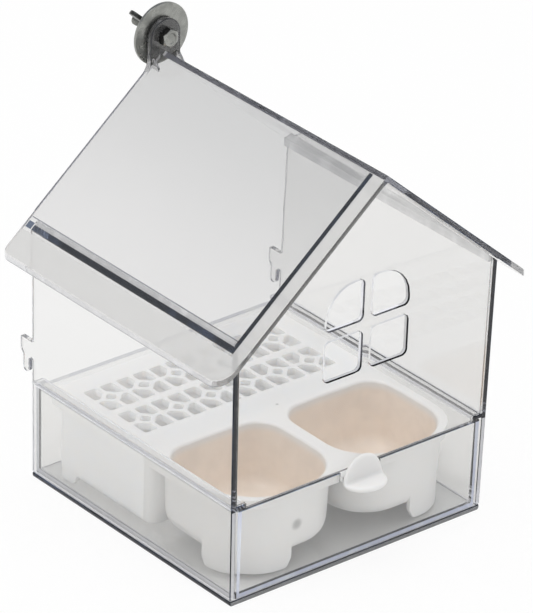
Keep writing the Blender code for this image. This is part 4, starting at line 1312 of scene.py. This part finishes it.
def floor_finish():
    """White to the eye and to clear pieces, with a faint shadow; plain pale board to light."""
    finish = new_finish("studio_floor")
    first = finish.add("LightPath", output="Diffuse Depth") < SCATTERED_DEPTH
    through = finish.add("LightPath", output="Is Transmission Ray")
    board = finish.add("BsdfDiffuse", None, {"Color": PALE_BOARD})
    tone = finish.blend(through, WHITE_PAPER, WHITE_THROUGH_CLEAR)
    white = finish.add("Emission", None, {"Color": tone, "Strength": 1.0})
    share = first * (WHITE_SHARE - WHITE_LOST * through)
    shader = finish.add("MixShader", None, {0: share, 1: board, 2: white})
    finish.add("OutputMaterial", None, {"Surface": shader})
    return finish.owner


def studio_light(strength):
    """World: even light on the pieces, and to the eye a white horizon below a grey ceiling."""
    finish = Finish(bpy.context.scene.world or bpy.data.worlds.new("studio"))
    bpy.context.scene.world = finish.owner
    side_way, _, up = finish.axes(finish.add("TexCoord", output="Generated"))
    lit = finish.add("LightPath", output="Diffuse Depth") > SCATTERED_DEPTH
    seen = finish.blend(up.ease(*SEEN_RANGE), WHITE_PAPER, SEEN_CEILING)
    low = finish.blend(abs(side_way).ease(*SIDES_RANGE), LOW_FRONT, LOW_SIDES)
    high = finish.blend(up.ease(*CEILING_RANGE), HIGH_WALLS, HIGH_CEILING)
    soft = finish.blend(up.ease(*HORIZON_RANGE), low, high)
    tone = finish.blend(lit, seen, soft)
    power = lit * (strength - 1.0) + 1.0
    background = finish.add("Background", None, {"Color": tone, "Strength": power})
    finish.add("OutputWorld", None, {"Surface": background})


class FEEDER_OT_stage(bpy.types.Operator):
    """Sets up the floor, the light and the camera"""

    bl_idname = "feeder.stage"
    bl_label = "Studio"

    def execute(self, context):
        studio = context.scene.feeder_looks.studio
        self.floor(context)
        studio_light(studio.light)
        self.lamp(context, studio)
        self.camera(context, studio)
        context.scene.view_settings.view_transform = "Standard"
        return {"FINISHED"}

    def floor(self, context):
        bm = bmesh.new()
        bmesh.ops.create_circle(bm, cap_ends=True, segments=FLOOR_SIDES, radius=FLOOR_RADIUS)
        bmesh.ops.translate(bm, verts=bm.verts, vec=(0, 0, -FLOOR_DROP))
        mesh = bpy.data.meshes.new("studio_floor")
        bm.to_mesh(mesh)
        bm.free()
        mesh.materials.append(floor_finish())
        board = bpy.data.objects.new("studio_floor", mesh)
        context.scene.collection.objects.link(board)

    def lamp(self, context, studio):
        """A large soft lamp overhead, to the left of the feeder."""
        data = bpy.data.lights.new("key_lamp", "AREA")
        data.shape = "DISK"
        data.size = LAMP_SIZE
        data.energy = studio.key
        lamp = bpy.data.objects.new("key_lamp", data)
        context.scene.collection.objects.link(lamp)
        lamp.location = LAMP_PLACE
        aim = Vector((0, 0, studio.target_height)) - lamp.location
        lamp.rotation_euler = aim.to_track_quat("-Z", "Y").to_euler()

    def camera(self, context, studio):
        """Looks at the target from the azimuth and elevation, rolled and shifted."""
        turn, lift = studio.azimuth, studio.elevation
        back = Vector(
            (math.sin(turn) * math.cos(lift), -math.cos(turn) * math.cos(lift), math.sin(lift))
        )
        right = (-back).cross(Vector((0, 0, 1))).normalized()
        up = right.cross(-back)
        place = back * studio.distance + right * studio.aside + up * studio.upward
        place.z += studio.target_height
        axes = Matrix((right, up, back)).transposed() @ Matrix.Rotation(studio.roll, 3, "Z")
        data = bpy.data.cameras.new("camera")
        data.sensor_width = SENSOR
        data.lens = studio.focal_pixels * data.sensor_width / FRAME_HEIGHT
        data.clip_end = FAR_END
        camera = bpy.data.objects.new("camera", data)
        camera.matrix_world = Matrix.Translation(place) @ axes.to_4x4()
        context.scene.collection.objects.link(camera)
        context.scene.camera = camera


class FEEDER_PT_sidebar(bpy.types.Panel):
    """Lists the feeder's operators and settings"""

    bl_idname = "FEEDER_PT_sidebar"
    bl_label = "Cage feeder"
    bl_space_type = "VIEW_3D"
    bl_region_type = "UI"
    bl_category = "Feeder"

    def draw(self, context):
        looks = context.scene.feeder_looks
        for operator in OPERATORS:
            self.layout.operator(operator.bl_idname)
        for group in (looks.colours, looks.sizes, looks.studio):
            box = self.layout.box()
            for name in group.__annotations__:
                box.prop(group, name)


OPERATORS = (FEEDER_OT_stage, FEEDER_OT_house, FEEDER_OT_drawer, FEEDER_OT_tray, FEEDER_OT_clamp)
GROUPS = (FeederColours, FeederSizes, StudioSettings, FeederLooks)


def register():
    for item in (*GROUPS, *OPERATORS, FEEDER_PT_sidebar):
        bpy.utils.register_class(item)
    bpy.types.Scene.feeder_looks = bpy.props.PointerProperty(type=FeederLooks)


def unregister():
    del bpy.types.Scene.feeder_looks
    for item in reversed((*GROUPS, *OPERATORS, FEEDER_PT_sidebar)):
        bpy.utils.unregister_class(item)


def main():
    register()
    bpy.ops.feeder.stage()
    bpy.ops.feeder.house()
    bpy.ops.feeder.drawer()
    bpy.ops.feeder.tray()
    bpy.ops.feeder.clamp()


if __name__ == "__main__":
    main()
